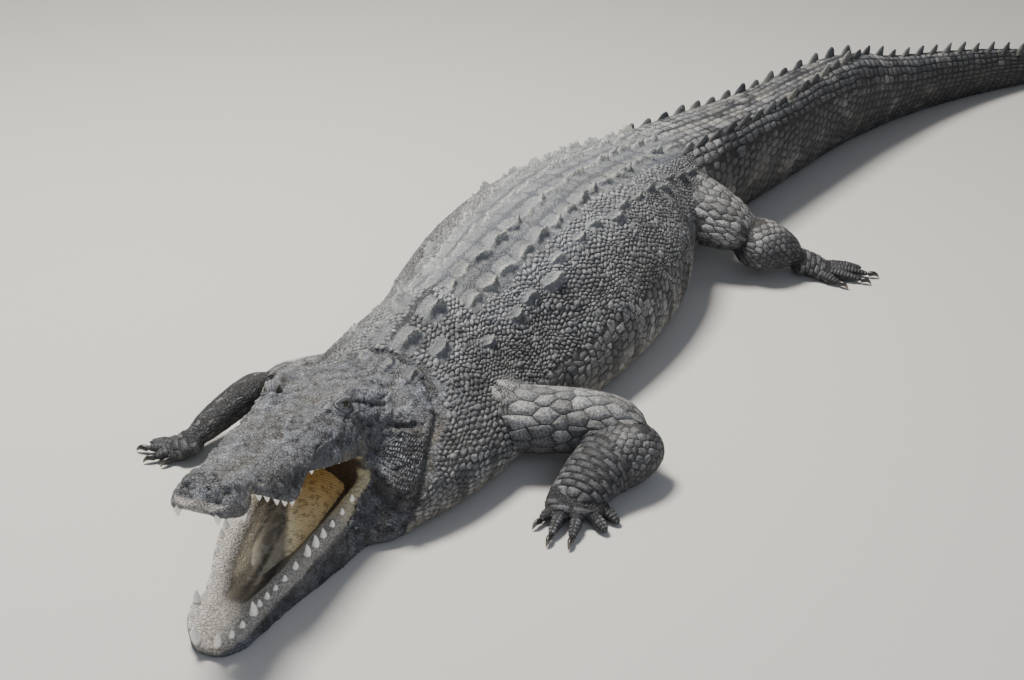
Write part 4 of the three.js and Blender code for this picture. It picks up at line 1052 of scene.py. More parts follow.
FLESH = ["head", "lower_jaw", "neck", "trunk", "tail_base", "tail_middle", "tail_rear", "tail_end"]
FLESH += [f"{limb_name}_{part}" for limb_name in LIMBS for part in ("upper", "lower", "foot")]
finish_piece(hide, bare_hide, FLESH, all_marks)


# %% [markdown]
# ## Charts: where scales are rooted
# Scales are laid out on a chart, which is a table of places over one region of the hide. The table
# comes from the same loft, and a Shrinkwrap modifier settles it onto the melted hide, so that scales
# follow the blended joints too. Looking a place up in a table is quick for thousands of scales.
# %% Charts
PATCH = 0.003  # size of one scale's own patch on the map


class Chart:
    """A table of places with their outward normals. at(u, v, lift) blends the four nearest entries, with
    u from 0 to 1 down the rows and v from 0 to 1 along the columns. island is its part of the OFBake map."""

    def __init__(self, table, island, settle=True):
        if settle:
            flat = mesh_object("chart", table.reshape(-1, 3), [grid_faces(table.shape[0], table.shape[1])])
            wrap = flat.modifiers.new("settle", "SHRINKWRAP")
            wrap.target = hide
            table = read_back(flat)[0].reshape(table.shape)
        self.table, self.island = table, island
        along, across = np.gradient(table, axis=0), np.gradient(table, axis=1)
        normal = unit(np.cross(along, across))
        middle = table.mean(axis=1, keepdims=True)
        self.normal = normal * np.sign(((table - middle) * normal).sum())

    def at(self, u, v, lift=0.0):
        """Table entry at (u, v) raised by lift along the normal."""
        rows, columns = self.table.shape[:2]
        i, j = clamp(u) * (rows - 1), clamp(v) * (columns - 1)
        i0, j0 = np.minimum(i.astype(int), rows - 2), np.minimum(j.astype(int), columns - 2)
        s, t = (i - i0)[..., None], (j - j0)[..., None]

        def blended(grid):
            low = grid[i0, j0] * (1 - t) + grid[i0, j0 + 1] * t
            return low * (1 - s) + (grid[i0 + 1, j0] * (1 - t) + grid[i0 + 1, j0 + 1] * t) * s

        return blended(self.table) + unit(blended(self.normal)) * np.asarray(lift)[..., None]

    def stretch(self, u, v, du, dv):
        """Distance over the hide from du behind a place to du ahead of it, and the same for dv."""
        down = self.at(u + du, v) - self.at(u - du, v)
        along = self.at(u, v + dv) - self.at(u, v - dv)
        return size_of(down), size_of(along)

    def patch(self, u, v, local):
        """Place on the OFBake map: the root on this chart's island, and a small patch for the scale."""
        x0, y0, wide, high = self.island
        return np.stack([x0 + u * wide, y0 + v * high], -1) + local * PATCH


BODY_ROWS = np.linspace(BODY_FRONT, TAIL_TIP, 620)
body_surface, half_girth = body_table(BODY_ROWS, 110, -COAT)
body_chart = Chart(body_surface, (0.01, 0.01, 0.97, 0.55))
girth_at = guide(*np.stack([BODY_ROWS, half_girth], -1)[::10])


def on_body(y, across):
    """Chart position of a place given as y and mm round the skin from the top of the back."""
    return (y - BODY_FRONT) / (TAIL_TIP - BODY_FRONT), 0.5 + 0.5 * across / girth_at(y)


limb_charts = {}
for number, (tube_name, (table, shape)) in enumerate(tubes.items()):
    island = (0.01 + (number % 10) * 0.098, 0.58 + (number // 10) * 0.14, 0.09, 0.13)
    limb_charts[tube_name] = Chart(table, island)
print(1 + len(limb_charts), "charts; half girth of the trunk", round(float(girth_at(-50))), "mm")


# %% [markdown]
# ## Scales as joined plates
# A crocodile's scales don't overlap like a fish's: they are thickened plates side by side with soft
# skin between. One plate could be a Geometry Nodes instance, but joined arrays export as they are. The
# plates come from a wavy brick wall: neighbours share each corner, so the gaps stay even, and each
# corner is nudged by a random amount. Corner cutting rounds them.
# %% Plates
CORNERS = 12


def brick_wall(rows, columns, stagger, hexagon, jitter, seed, cut=0.22):
    """Outlines of 12 points for each brick, in brick units. Corner k of row b sits at k / 2 across and
    b along, moved by the hexagon amount towards the longer side and by a random nudge."""
    i, j = [a.ravel() for a in np.meshgrid(np.arange(rows), np.arange(columns), indexing="ij")]
    m = 2 * j + 1 + (i % 2) * stagger
    k = np.stack([m - 1, m, m + 1, m + 1, m, m - 1], 1)
    b = np.stack([i, i, i, i + 1, i + 1, i + 1], 1)
    towards = np.where((k - b) % 2 == 1, -1.0, 1.0) * stagger * hexagon
    across = k * 0.5 + jitter * (scramble(k, b, seed) - 0.5)
    along = b + towards + jitter * (scramble(k, b, seed + 1) - 0.5)
    ring = np.stack([along, across], -1)
    after = np.roll(ring, -1, axis=1)
    outlines = np.stack([ring * (1 - cut) + after * cut, ring * cut + after * (1 - cut)], 2)
    return outlines.reshape(-1, CORNERS, 2), scramble(i, j, seed + 2), i, j


def spread_marks(root, shape, worn, tint, limb=False):
    """Marks of scales of so many points each: the hide's own at each root, how worn, which is partly painted
    shade and highlight, and how light.
    """
    marks = {key: np.repeat(values, math.prod(shape[1:])) for key, values in marks_at(root, limb).items()}
    marks["worn"], marks["tint"] = [np.broadcast_to(values, shape).ravel() for values in (worn, tint)]
    return marks


def lay_plates(chart, outlines, place, height, gap, chance, keep, size=1.0, dome=0.8, sink=1.2, limb=False):
    """Puts a low dome on the chart over each outline: rim sunk in the hide, shoulder at three quarters
    of the height, crown at full height. Returns points, sets of faces, marks and map patches."""
    centre = outlines.mean(axis=1, keepdims=True)
    size = np.broadcast_to(size, len(outlines))[:, None, None]
    rings = [centre + (outlines - centre) * (1 - gap) * size * share for share in (1.0, dome)]
    cells = np.concatenate(rings + [centre], axis=1)
    u, v = place(cells[..., 0], cells[..., 1])
    root = chart.at(u[:, -1], v[:, -1])
    wanted = (u[:, -1] > 0) & (u[:, -1] < 1) & (v[:, -1] >= 0) & (v[:, -1] <= 1)
    wanted &= keep(root, u[:, -1], v[:, -1])
    u, v, root, chance, local = u[wanted], v[wanted], root[wanted], chance[wanted], (cells - centre)[wanted]
    tall = (np.broadcast_to(height, len(wanted))[wanted] * (0.75 + 0.5 * chance))[:, None]
    profile = np.repeat([0.0, 0.78, 1.0], [CORNERS, CORNERS, 1])[None, :]
    points = chart.at(u, v, -sink + (tall + sink) * profile)
    points[..., 2] = np.maximum(points[..., 2], 0.2)
    shape = points.shape[:2]
    ring = np.arange(CORNERS)
    after = (ring + 1) % CORNERS
    quads = np.stack([ring, after, after + CORNERS, ring + CORNERS], -1)
    fans = table_of(ring + CORNERS, after + CORNERS, 2 * CORNERS)
    start = (np.arange(len(points)) * shape[1])[:, None, None]
    faces = [(each[None] + start).reshape(-1, each.shape[1]) for each in (quads, fans)]
    # Worn is the height profile, so each plate is painted darker at its sunk foot and paler at its crown:
    # partly wear and dust, partly painted shade and painted highlight.
    marks = spread_marks(root, shape, profile, chance[:, None], limb)
    patches = chart.patch(u[:, -1:], v[:, -1:], np.clip(local, -0.5, 0.5)).reshape(-1, 2)
    return points.reshape(-1, 3), faces, marks, patches


def joined_piece(name, groups, material):
    """Joins several lays into one piece; each lay is its points, sets of faces, marks and map patches."""
    points, face_sets, marks, patches = zip(*groups)
    starts = np.cumsum([0] + [len(lay) for lay in points[:-1]])
    joined = [np.concatenate([faces + start for faces, start in zip(kind, starts)])
        for kind in zip(*face_sets)]
    made = mesh_object(name, np.concatenate(points), joined)
    turn_outward(made)
    marks = {key: np.concatenate([lay[key] for lay in marks]) for key in marks[0]}
    finish_piece(made, material, marks=marks, patches=np.concatenate(patches))


def turn_outward(made):
    """Flips the faces of a piece whose plates face inwards, judged by the share that does."""
    mesh = made.data
    facing = np.empty(len(mesh.polygons) * 3)
    mesh.polygons.foreach_get("normal", facing)
    middle = np.empty(len(mesh.polygons) * 3)
    mesh.polygons.foreach_get("center", middle)
    middle = middle.reshape(-1, 3) * 1000
    hub = np.stack([body_middle(middle[:, 1]), middle[:, 1], body_widest(middle[:, 1])], -1)
    if ((middle - hub) * facing.reshape(-1, 3)).sum() < 0:
        mesh.flip_normals()


# %% [markdown]
# ## Flank, belly, neck and tail
# Upper flank: small round beads. Lower flank: squarish cobbles with black cracks. Belly: smooth
# rectangles in rows. Tail: each whorl carries tall rectangles down its sides. Plates whose roots fall
# inside a leg, the jowl or the head are left out.
# %% Laying the body's plates
shield_edge = guide((-520, 98), (300, 100), (470, 92), (520, 80))  # mm from the middle line, at each y
NECK_BEHIND = head_guide(*[(up, along) for along, _, up in NECK_CREASE[::-1]][:-2])

NECK_GAP = 0.024  # bare skin on either side of the neck crease, in head lengths


def clear_of_limbs(root, margin=-5.0):
    """True where a root is outside every upper leg and the jowl, and behind the neck crease."""
    free = np.ones(len(root), bool)
    for limb_name in LIMBS:
        free &= ~inside_tube(root, tubes[limb_name + "_upper"][1], margin)
    local = to_head(root, "jowl")
    middle, length, width, reach_up, reach_down, _ = POUCHES["jowl"]
    reach = np.where(local[:, 2] > middle[1], reach_up, reach_down)
    ball = (np.abs(local[:, 0] - middle[0]) / length) ** 2.2 + (np.abs(local[:, 1]) / width) ** 2.2
    ball += (np.abs(local[:, 2] - middle[1]) / reach) ** 2.2
    skull = to_head(root, "skull")
    return free & ((ball > 0.93) | (root[:, 1] > -650)) & (skull[:, 0] > NECK_BEHIND(skull[:, 2]) + NECK_GAP)


wander_at = guide((-520, 5), (-400, 8), (100, 9), (300, 12), (460, 10), (560, 5), (1300, 3))


def band(side, first_seed, y_from, y_to, low, high, row_mm, column_mm, seed, height, gap, girth_y=-50,
        stagger=1, hexagon=0.16, jitter=0.3, big=0.0, dome=0.8, cut=0.22):
    """A band of plates along one side, between two edges given as mm round the skin at each y. Rows run
    round the body, so a row keeps its number of plates and they widen where the body does."""
    seed = seed + first_seed
    rows = max(int(round((y_to - y_from) / row_mm)), 1)
    columns = max(int(round((high(girth_y) - low(girth_y)) / column_mm)), 1)
    outlines, chance, i, j = brick_wall(rows, columns, stagger, hexagon, jitter, seed, cut)

    def place(along, across):
        y = y_from + (y_to - y_from) * along / rows
        arc = low(y) + (high(y) - low(y)) * across / columns
        spot = table_of(y, arc, 40.0 * side)
        wander = wander_at(y) * clamp(arc / 40) * smooth(0.84, 0.64, arc / girth_at(y))
        y = y + wander * (noise(spot, 46.0, 41) + 0.5 * noise(spot, 20.0, 43))
        arc = arc + wander * (noise(spot, 46.0, 42) + 0.5 * noise(spot, 20.0, 44))
        return on_body(y, side * arc)

    def wanted(root, u, v):
        """Outside legs and jowl, and where the chart is neither squeezed nor pulled out."""
        step, spread = body_chart.stretch(u, v, 0.001, 0.003)
        step = step / (0.002 * (TAIL_TIP - BODY_FRONT))
        spread = spread / (0.012 * girth_at(root[:, 1]))
        even = (step > 0.6) & (step < 1.7) & (spread > 0.45) & (spread < 1.6)
        return clear_of_limbs(root) & (even | (root[:, 1] < -620) | (root[:, 1] > 560))

    large = scramble(i, j, seed + 7) < big
    size = np.where(large, 1.45, 0.80 + 0.34 * scramble(i, j, seed + 8))
    height = height * np.where(large, 1.6, 1.0)
    return lay_plates(body_chart, outlines, place, height, gap, chance, wanted, size=size, dome=dome)


def share_of_girth(share):
    """An edge that stays at one share of half the girth."""
    return lambda y: share * girth_at(y)


def midline(y):
    """An edge that stays close beside the middle line."""
    return 4.0 + 0 * y


LOW_FLANK, BELLY_EDGE, MID_BELLY = share_of_girth(0.44), share_of_girth(0.66), share_of_girth(1.0)
NECK_SIDE, TAIL_SIDE, TAIL_BELOW = share_of_girth(0.42), share_of_girth(0.30), share_of_girth(0.80)
BANDS = {  # from y, to y, inner and outer edge, row and column in mm, seed, height, gap, y of the count
    "flank_scales": [
        ((140, 478, shield_edge, LOW_FLANK, 8.4, 8.6, 30, 2.1, 0.10, 320), dict(big=0.04, jitter=0.62)),
        ((-520, 140, shield_edge, LOW_FLANK, 10.0, 10.4, 0, 2.5, 0.11), dict(big=0.06, jitter=0.52)),
        ((-520, -424, midline, shield_edge, 11.5, 11.0, 10, 2.8, 0.08), dict(big=0.04, jitter=0.42)),
        ((-520, 478, LOW_FLANK, BELLY_EDGE, 18, 19, 20, 1.4, 0.055),
         dict(hexagon=0.08, jitter=0.48, dome=0.91, cut=0.15)),
    ],
    "belly_scales": [
        ((-760, 500, BELLY_EDGE, MID_BELLY, 33, 27, 40, 2.0, 0.06), dict(stagger=0, jitter=0.12, dome=0.86)),
    ],
    "neck_scales": [
        ((-790, -520, midline, NECK_SIDE, 10.0, 10.4, 60, 2.4, 0.08, -560), dict(big=0.07, jitter=0.48)),
        ((-790, -520, NECK_SIDE, BELLY_EDGE, 13.0, 12.5, 80, 2.4, 0.09, -560), dict(jitter=0.36)),
    ],
    "tail_scales": [
        ((478, 1250, midline, TAIL_SIDE, 28, 17, 90, 2.4, 0.07, 800), dict(stagger=0, jitter=0.24)),
        ((478, 1250, TAIL_SIDE, TAIL_BELOW, 26, 24, 91, 2.2, 0.06, 800),
         dict(hexagon=0.06, jitter=0.42, big=0.03)),
        ((478, 1250, TAIL_BELOW, MID_BELLY, 28, 24, 92, 2.0, 0.06, 800), dict(stagger=0, jitter=0.1)),
        ((1250, 2300, midline, MID_BELLY, 24, 20, 93, 2.2, 0.08, 1500), dict(stagger=0, jitter=0.22)),
    ],
}
for piece_name, bands in BANDS.items():
    groups = [band(side, first_seed, *placed, **looks) for side, first_seed in ((1, 100), (-1, 200))
        for placed, looks in bands]
    joined_piece(piece_name, groups, horny_scale)

# %% [markdown]
# ## Leg and toe plates
# The upper leg wears large plates with black cracks between them, the forearm small square ones, the
# wrist broad bands, and each toe a row of rings.
# %% Laying the limb plates
LIMB_PLATES = {  # stretch of the tube, plate length and width in mm, stagger, jitter, height, dome, gap, cut
    "upper": [((0.23, 1), 34, 29, 1, 0.40, 1.6, 0.94, 0.024, 0.07)],
    "hind_upper": [((0.16, 1), 23, 20, 1, 0.42, 1.5, 0.92, 0.028, 0.09)],
    "lower": [((0, 0.5), 13, 15, 1, 0.42, 1.2, 0.90, 0.034, 0.12),
              ((0.5, 1), 12.5, 45, 1, 0.16, 2.2, 0.84, 0.05, 0.05)],
    "hind_lower": [((0, 1), 15, 16, 1, 0.44, 1.4, 0.90, 0.034, 0.12)],
    "far_lower": [((0, 1), 15, 46, 1, 0.30, 0.9, 0.92, 0.03, 0.08)],
    "palm": [((0, 1), 12.5, 45, 1, 0.16, 2.4, 0.84, 0.05, 0.06)],
    "toe": [((0, 1), 7.5, 30, 0, 0.08, 1.6, 0.80, 0.04, 0.14)],
}


def worn_by(limb_name, part):
    """The rows of the list above that a part of a leg wears."""
    if part == "lower" and limb_name == "fore_right":
        return LIMB_PLATES["far_lower"]
    return LIMB_PLATES.get(limb_name[:5] + part, LIMB_PLATES[part])


for limb_name, limb in LIMBS.items():
    groups = []
    for tube_name in [name for name in tubes if name.startswith(limb_name)]:
        part = tube_name.removeprefix(limb_name + "_").rstrip("0123456789")
        around = [name for name in tubes if name.startswith(limb_name) and name != tube_name
            and (part == "toe" or "_toe" not in name)]
        shape = tubes[tube_name][1]
        girth = 2 * np.pi * np.sqrt((shape["wide"][32] ** 2 + shape["high"].mean() ** 2) / 2)
        chart = limb_charts[tube_name]
        for stretch, row_mm, column_mm, stagger, jitter, height, dome, gap, cut in worn_by(limb_name, part):
            rows = max(int(round(shape["length"] / row_mm)), 2)
            columns = max(int(round(girth / column_mm)), 4)
            hexagon = 0.18 if column_mm < 40 else 0.05
            seed = 300 + len(tube_name) + rows
            outlines, chance, _, _ = brick_wall(rows, columns, stagger, hexagon, jitter, seed, cut)

            def place(along, across):
                share = np.clip(along / rows, 0.0, 1.0)
                return np.arccos(1 - 2 * share) / np.pi, np.mod(across / columns, 1.0)

            def clear(root, u, v):
                """On this stretch, outside the body and the other tubes, where the chart is even."""
                free = ~inside_body(root, -4.0) & (root[:, 2] > 2.0) & (u > stretch[0]) & (u <= stretch[1])
                for other in around:
                    free &= ~inside_tube(root, tubes[other][1], -4.0)
                step, spread = chart.stretch(u, v, 0.02, 0.02)
                usual = np.median(spread)
                return free & (step < 3 * np.median(step)) & (spread > 0.4 * usual) & (spread < 2.2 * usual)

            turns = np.floor(outlines[..., 1] / columns)
            whole = turns.max(axis=1) == turns.min(axis=1)
            groups.append(lay_plates(chart, outlines[whole], place, height, gap, chance[whole], clear,
                dome=dome, limb=True, sink=1.0))
    joined_piece(limb_name + "_scales", groups, horny_scale)

# %% [markdown]
# ## Jowl scales
# Between the corner of the mouth and the neck crease the skin is pebbled with small scales, 6 to 8 mm
# across. Their chart is a sheet hung just outside the jowl that the Shrinkwrap pulls onto it.
# %% Jowl scales
jowl_front_x = head_guide((-290, 600), (-200, 660), (-120, 735), (-85, 790), (0, 810), (45, 860))
jowl_front_out = head_guide((-290, 240), (-200, 245), (-120, 240), (-85, 222), (0, 215), (45, 230))
neck_out = head_guide(*[(up, out_there) for _, out_there, up in NECK_CREASE[::-1]][:-2])
JOWL_ROWS, JOWL_COLUMNS = 25, 17
jowl_groups = []
for side, seed in ((1, 350), (-1, 360)):
    up_there = np.linspace(-0.27, 0.045, 120)[:, None]
    share = np.linspace(0, 1, 70)[None, :]
    front_x, front_out = jowl_front_x(up_there), jowl_front_out(up_there)
    sheet_x = front_x + (NECK_BEHIND(up_there) - NECK_GAP - front_x) * share - 0.010
    sheet_out = front_out + (neck_out(up_there) - front_out) * share + 0.012
    sheet = table_of(sheet_x, side * sheet_out, up_there)
    jowl_chart = Chart(from_head(sheet, "skull"), (0.60 + 0.1 * (side > 0), 0.86, 0.09, 0.13))

    def lies_evenly(_, u, v):
        down, along = jowl_chart.stretch(u, v, 0.03, 0.04)
        return (down > 5) & (down < 17) & (along > 4) & (along < 24)

    outlines, chance, _, _ = brick_wall(JOWL_ROWS, JOWL_COLUMNS, 1, 0.14, 0.46, seed)
    group = lay_plates(jowl_chart, outlines, lambda along, across: (along / JOWL_ROWS,
        across / JOWL_COLUMNS), 1.0, 0.07, chance, lies_evenly, size=0.85 + 0.3 * chance)
    for mark, share in (("warm", 0.3), ("pale", 0.3), ("dark_tone_and_shade", 0.5)):
        group[2][mark] = group[2][mark] * share
    jowl_groups.append(group)
joined_piece("jowl_scales", jowl_groups, horny_scale)

# %% [markdown]
# ## The back shield
# Bony plates under the skin make the back a shield: rows of scutes about 56 mm long, each with a keel.
# The middle four lines are neat, the outermost is broken up. A keel could be a bevelled extrusion, but
# a height worked out over a small grid gives the worn, lopsided shape of a real one: a ridge along the
# scute that rises to the back, a roof that falls away from it, and an edge sunk in the hide.
# %% Scutes
def scutes(ys, across, length, width, keel, plate, seed, skew=0.0):
    """Grid of 15 by 11 points on each scute, p along it and q across it from -1 to 1. Lift = plate * edge
    + keel * ridge(p) * edge * (exp(-(q / 0.14)^2) + a roof of 0.13 that falls to the sides)."""
    c, o = [scramble(np.arange(len(ys)), seed + k)[:, None, None] for k in (0, 1)]
    p, q = np.meshgrid(np.linspace(-1, 1, 15), signed_power(np.linspace(-1, 1, 11), 1.35), indexing="ij")
    p, q = p[None], q[None]
    squeeze = 1 - 0.10 * p**2 * (0.6 + c)
    middle_y, middle_x, length, width, keel = [np.asarray(a)[:, None, None] for a in (ys, across, length,
        width, keel)]
    y = middle_y + p * (length / 2) * (1 - 0.10 * q**2)
    x = middle_x + (q * squeeze + skew * p) * (width / 2)
    u, v = on_body(y, x)
    edge = (1 - np.abs(p) ** 8) * (1 - np.abs(q) ** 8)
    line = q - 0.20 * (o - 0.5) - 0.14 * np.sin(3 * p + 6 * o)
    ridge = (0.60 + 0.40 * smooth(-0.8, 0.2 + 0.4 * o, p)) * smooth(-1.0, -0.66 + 0.2 * c, p) * smooth(1.0,
        0.74, p) * (0.85 + 0.15 * np.cos(9 * p + 20 * c))
    crest = ridge * bell(line, 0.11 + 0.06 * o)
    roof = 0.13 * ridge * clamp(1 - np.abs(line) / 0.9) ** 1.5
    tall = keel * (0.7 + 0.6 * c)
    places = body_chart.at(u, v, -0.5 + (plate + 0.5) * edge + tall * (crest + roof) * edge)
    places = places + ((0.9 * noise(places, 9.0, seed) + 0.5 * noise(places, 4.5, seed)) * edge)[...,
        None] * [0, 0, 1]
    shape = places.shape[:3]
    root_u, root_v = on_body(ys, across)
    # Painted highlight and shade: the keel's crest is painted pale and the sunk edge dark, partly as wear and
    # partly as light on the top and shade at the foot.
    worn = 0.20 + 0.30 * edge**0.5 + 0.8 * crest + 0.16 * noise(places, 11.0, seed + 3)
    tint = 0.30 + 0.35 * c + 0.25 * noise(places, 30.0, seed + 4) + 0.15 * crest
    marks = spread_marks(body_chart.at(root_u, root_v), shape, clamp(worn), clamp(tint))
    local = np.broadcast_to(np.stack([p, q], -1) * 0.5, shape + (2,))
    patches = body_chart.patch(root_u[:, None, None], root_v[:, None, None], local)
    return places.reshape(-1, 3), [many_grids(*shape)], marks, patches.reshape(-1, 2)


SCUTE_PITCH = 56.0
BACK_LINES = ((27, 12, 55, -420, 17), (-27, 12, 55, -420, 17), (80, 14, 54, -402, 16), (-80, 14, 54, -402,
    16))
back_groups = []
for line_offset, keel_height, width, start, row_count in BACK_LINES:
    row = np.arange(row_count)
    ys = start + SCUTE_PITCH * row + 6 * (scramble(row, line_offset + 500) - 0.5)
    narrowing = np.clip(girth_at(ys) / 640, 0.82, 1.05)
    across = line_offset * narrowing + 7 * (scramble(row, line_offset + 700) - 0.5)
    keels = keel_height * (0.6 + 0.6 * smooth(-430, -250, ys)) * (0.7 + 0.6 * scramble(row, line_offset
        + 760))
    lengths = 57 + 4 * scramble(row, line_offset + 740)
    back_groups.append(scutes(ys, across, lengths, width * narrowing, keels, 0.7, 800 + line_offset, 0.06))
lateral_y = np.array([-455, -352, -296, -240, -190, -110, -52, 12, 66, 130, 196, 250, 318, 380, 430])
for side in (1, -1):
    wobble = scramble(np.arange(len(lateral_y)), 900 + side)
    back_groups.append(scutes(lateral_y + 12 * (wobble - 0.5), side * (128 + 34 * wobble),
        40 + 14 * wobble, 28 + 12 * wobble, 9 + 7 * wobble, 1.6, 910 + side, skew=0.12 * side))
# The neck shield: six plates in a cluster, and a short row of small ones close behind the skull.
# y, mm from the middle line, length, width and keel height of each.
NUCHAL = [(-556, -104, 52, 44, 17), (-572, -40, 62, 56, 19), (-572, 26, 62, 56, 19), (-550, 84, 54, 46,
    17), (-486, -46, 66, 60, 19), (-486, 30, 66, 60, 19)]
BEHIND_SKULL = [(-622, -92, 32, 34, 12), (-630, -34, 32, 34, 12), (-630, 26, 32, 34, 12), (-624, 70, 32,
    34, 12)]
for cluster, plate, seed in ((NUCHAL, 2.4, 950), (BEHIND_SKULL, 2.0, 960)):
    back_groups.append(scutes(*np.array(cluster).T, plate, seed))
joined_piece("back_scutes", back_groups, keel_horn)


# %% [markdown]
# ## The tail crest
# Each whorl of the tail carries a fin of horn on either edge; the two lines meet two thirds of the way
# back and go on as one. A fin is rings of an ellipse that shrink and lean back as they rise.
# %% Tail crest
DOUBLE_CREST_ROWS, SINGLE_CREST_ROWS, CREST_START = 15, 17, 470.0
whorl_length = guide((0, 56), (14, 60), (24, 56), (34, 38))
crest_height = guide((0, 14), (5, 20), (10, 24), (13, 32), (16, 28), (20, 26), (27, 24), (33, 14))
crest_offset = guide((0, 84), (5, 66), (10, 42), (14, 14))


FIN_RINGS, FIN_COLUMNS = 9, 14
FIN_FOOT = 12.0  # mm of each fin that are sunk in the hide


def crest_fins(ys, offsets, heights, seed):
    """Fin rings: at share h of the height the ellipse is (1 - h^3.2)^0.5 * (1 - 0.3 h) of its foot, moved
    back by about half of h^1.3 of the length and out by 0.16 h of the height."""
    angle = np.arcsin(clamp((np.abs(offsets) / body_half_width(ys)) ** (back_squareness(ys) / 2)))
    side = np.sign(offsets)
    foot = body_point(ys, side * angle)
    h = np.linspace(0, 1, FIN_RINGS)[None, :, None]
    turn_round = np.linspace(0, 2 * np.pi, FIN_COLUMNS, endpoint=False)[None, None, :]
    chance = scramble(np.arange(len(ys)), seed)[:, None, None]
    shrink = (1 - h**3.2) ** 0.5 * (1 - 0.30 * h)
    length = np.minimum(0.66 * whorl_length(np.arange(len(ys)) % 32), 38)[:, None, None]
    tall = heights[:, None, None] * (0.40 + 0.28 * chance) + FIN_FOOT
    thick = (6.0 + 0.14 * tall) * (1 - 0.45 * h)
    along = np.cos(turn_round) * length * shrink + h**1.3 * length * (0.40 + 0.30 * chance)
    across = np.sin(turn_round) * thick * shrink + side[:, None, None] * 0.16 * tall * h
    rise = h * tall - FIN_FOOT
    points = foot[:, None, None] + table_of(across, along, rise)
    points[..., 0] += 1.2 * noise(points, 9.0, seed)
    shape = points.shape[:3]
    marks = spread_marks(foot, shape, clamp(0.10 + 0.45 * h**1.6), 0.1 + 0.4 * chance)
    u, v = on_body(ys, offsets)
    local = table_of(turn_round / (2 * np.pi) - 0.5, h - 0.5)
    patches = body_chart.patch(u[:, None, None], v[:, None, None], np.broadcast_to(local, shape + (2,)))
    return points.reshape(-1, 3), [many_grids(*shape, wrap=True)], marks, patches.reshape(-1, 2)


rows = np.arange(DOUBLE_CREST_ROWS + SINGLE_CREST_ROWS)
crest_y = CREST_START + np.concatenate([[0], np.cumsum(whorl_length(rows))[:-1]])
double, single = rows[:DOUBLE_CREST_ROWS], rows[DOUBLE_CREST_ROWS:]
crest_groups = [crest_fins(crest_y[double], side * crest_offset(double), crest_height(double), 970 + side)
    for side in (1, -1)]
crest_groups.append(crest_fins(crest_y[single], np.full(len(single), 0.01), crest_height(single), 975))
joined_piece("tail_crest", crest_groups, keel_horn)

# %% [markdown]
# ## Teeth
# Ivory cones, ringed by the gum and stained at the root. The fourth lower tooth is the biggest and
# stands in a notch of the upper jaw.
# %% Ivory
tooth_material, tree, shader = new_material("enamel, ivory white", {"Roughness": 0.32, "IOR": 1.6,
    "Coat Weight": 0.3})
stain = cloudy(tree, 180.0, 4.0).outputs["Fac"]
stained = times_plus(tree, stain, 0.5, mark_of(tree, "worn"))
ivory = ramp(tree, stained, (0.22, "#9a8a68"), (0.50, "#f1eee4"))
tree.links.new(ivory, shader.inputs["Base Color"])
bump(tree, shader, stain, 0.4, 0.0004)

# %% [markdown]
# ## Rows of teeth
# Places and heights come from a list, because a crocodile's teeth are all unlike: big ones at the front
# and the middle, small ones between. Each is a stack of rings that curves inwards as it rises.
# %% Tooth rows
UPPER_TEETH = [(22, 26), (50, 26), (85, 34), (115, 36), (145, 22), (215, 18), (245, 22), (280, 28),
    (315, 34), (350, 38), (390, 28), (430, 11), (470, 26), (510, 10), (550, 12), (590, 12), (635, 12)]
LOWER_TEETH = [(12, 46), (45, 28), (85, 24), (140, 46), (185, 24), (225, 24), (265, 24), (305, 26),
    (355, 32), (415, 48), (460, 42), (505, 34), (560, 30), (620, 28), (680, 24)]


TOOTH_RINGS, TOOTH_COLUMNS, TOOTH_FOOT = 10, 12, 0.016


def tooth_row(name, list_of_teeth, half_width, gum_height, inset, direction, which):
    """Rings up each tooth: radius = (0.0085 + 0.125 height) * (1 - h^2)^0.8, leaning out and
    curling back inwards as h^2. The foot is sunk in the gum."""
    x, height = np.array(list_of_teeth).T / 1000
    x, height = np.repeat(x, 2), np.repeat(height, 2)
    side = np.tile([1.0, -1.0], len(list_of_teeth))
    chance = scramble(np.arange(len(x)), 40 + direction)
    height = height * (0.62 + 0.40 * chance) * np.where(x > 0.49 + 0.3 * (direction > 0), 0.55, 1)
    out = side * (half_width(x) - inset)
    h = np.linspace(0, 1, TOOTH_RINGS)[None, :, None]
    angle = np.linspace(0, 2 * np.pi, TOOTH_COLUMNS, endpoint=False)[None, None, :]
    x, height, out, side = (a[:, None, None] for a in (x, height, out, side))
    radius = (0.0085 + 0.125 * height) * (1 - h**2.0) ** 0.8
    rise = -TOOTH_FOOT + h * (height + TOOTH_FOOT)
    lean = side * (0.26 * rise - 0.35 * rise**2 / (height + TOOTH_FOOT))
    local = table_of(x + radius * np.cos(angle) * 1.1 + 0.12 * rise * h, out + radius * np.sin(angle)
        + lean, gum_height(x) + direction * rise)
    faces = many_grids(*local.shape[:3], wrap=True)
    made = mesh_object(name, from_head(local, which).reshape(-1, 3), [faces])
    face_out(made)
    finish_piece(made, tooth_material, marks={"worn": np.broadcast_to(h, local.shape[:3])})


tooth_row("teeth_upper", UPPER_TEETH, skull_half_width, lip_height, 0.016, -1, "skull")
tooth_row("teeth_lower", LOWER_TEETH, jaw_half_width, jaw_top, 0.018, 1, "jaw")

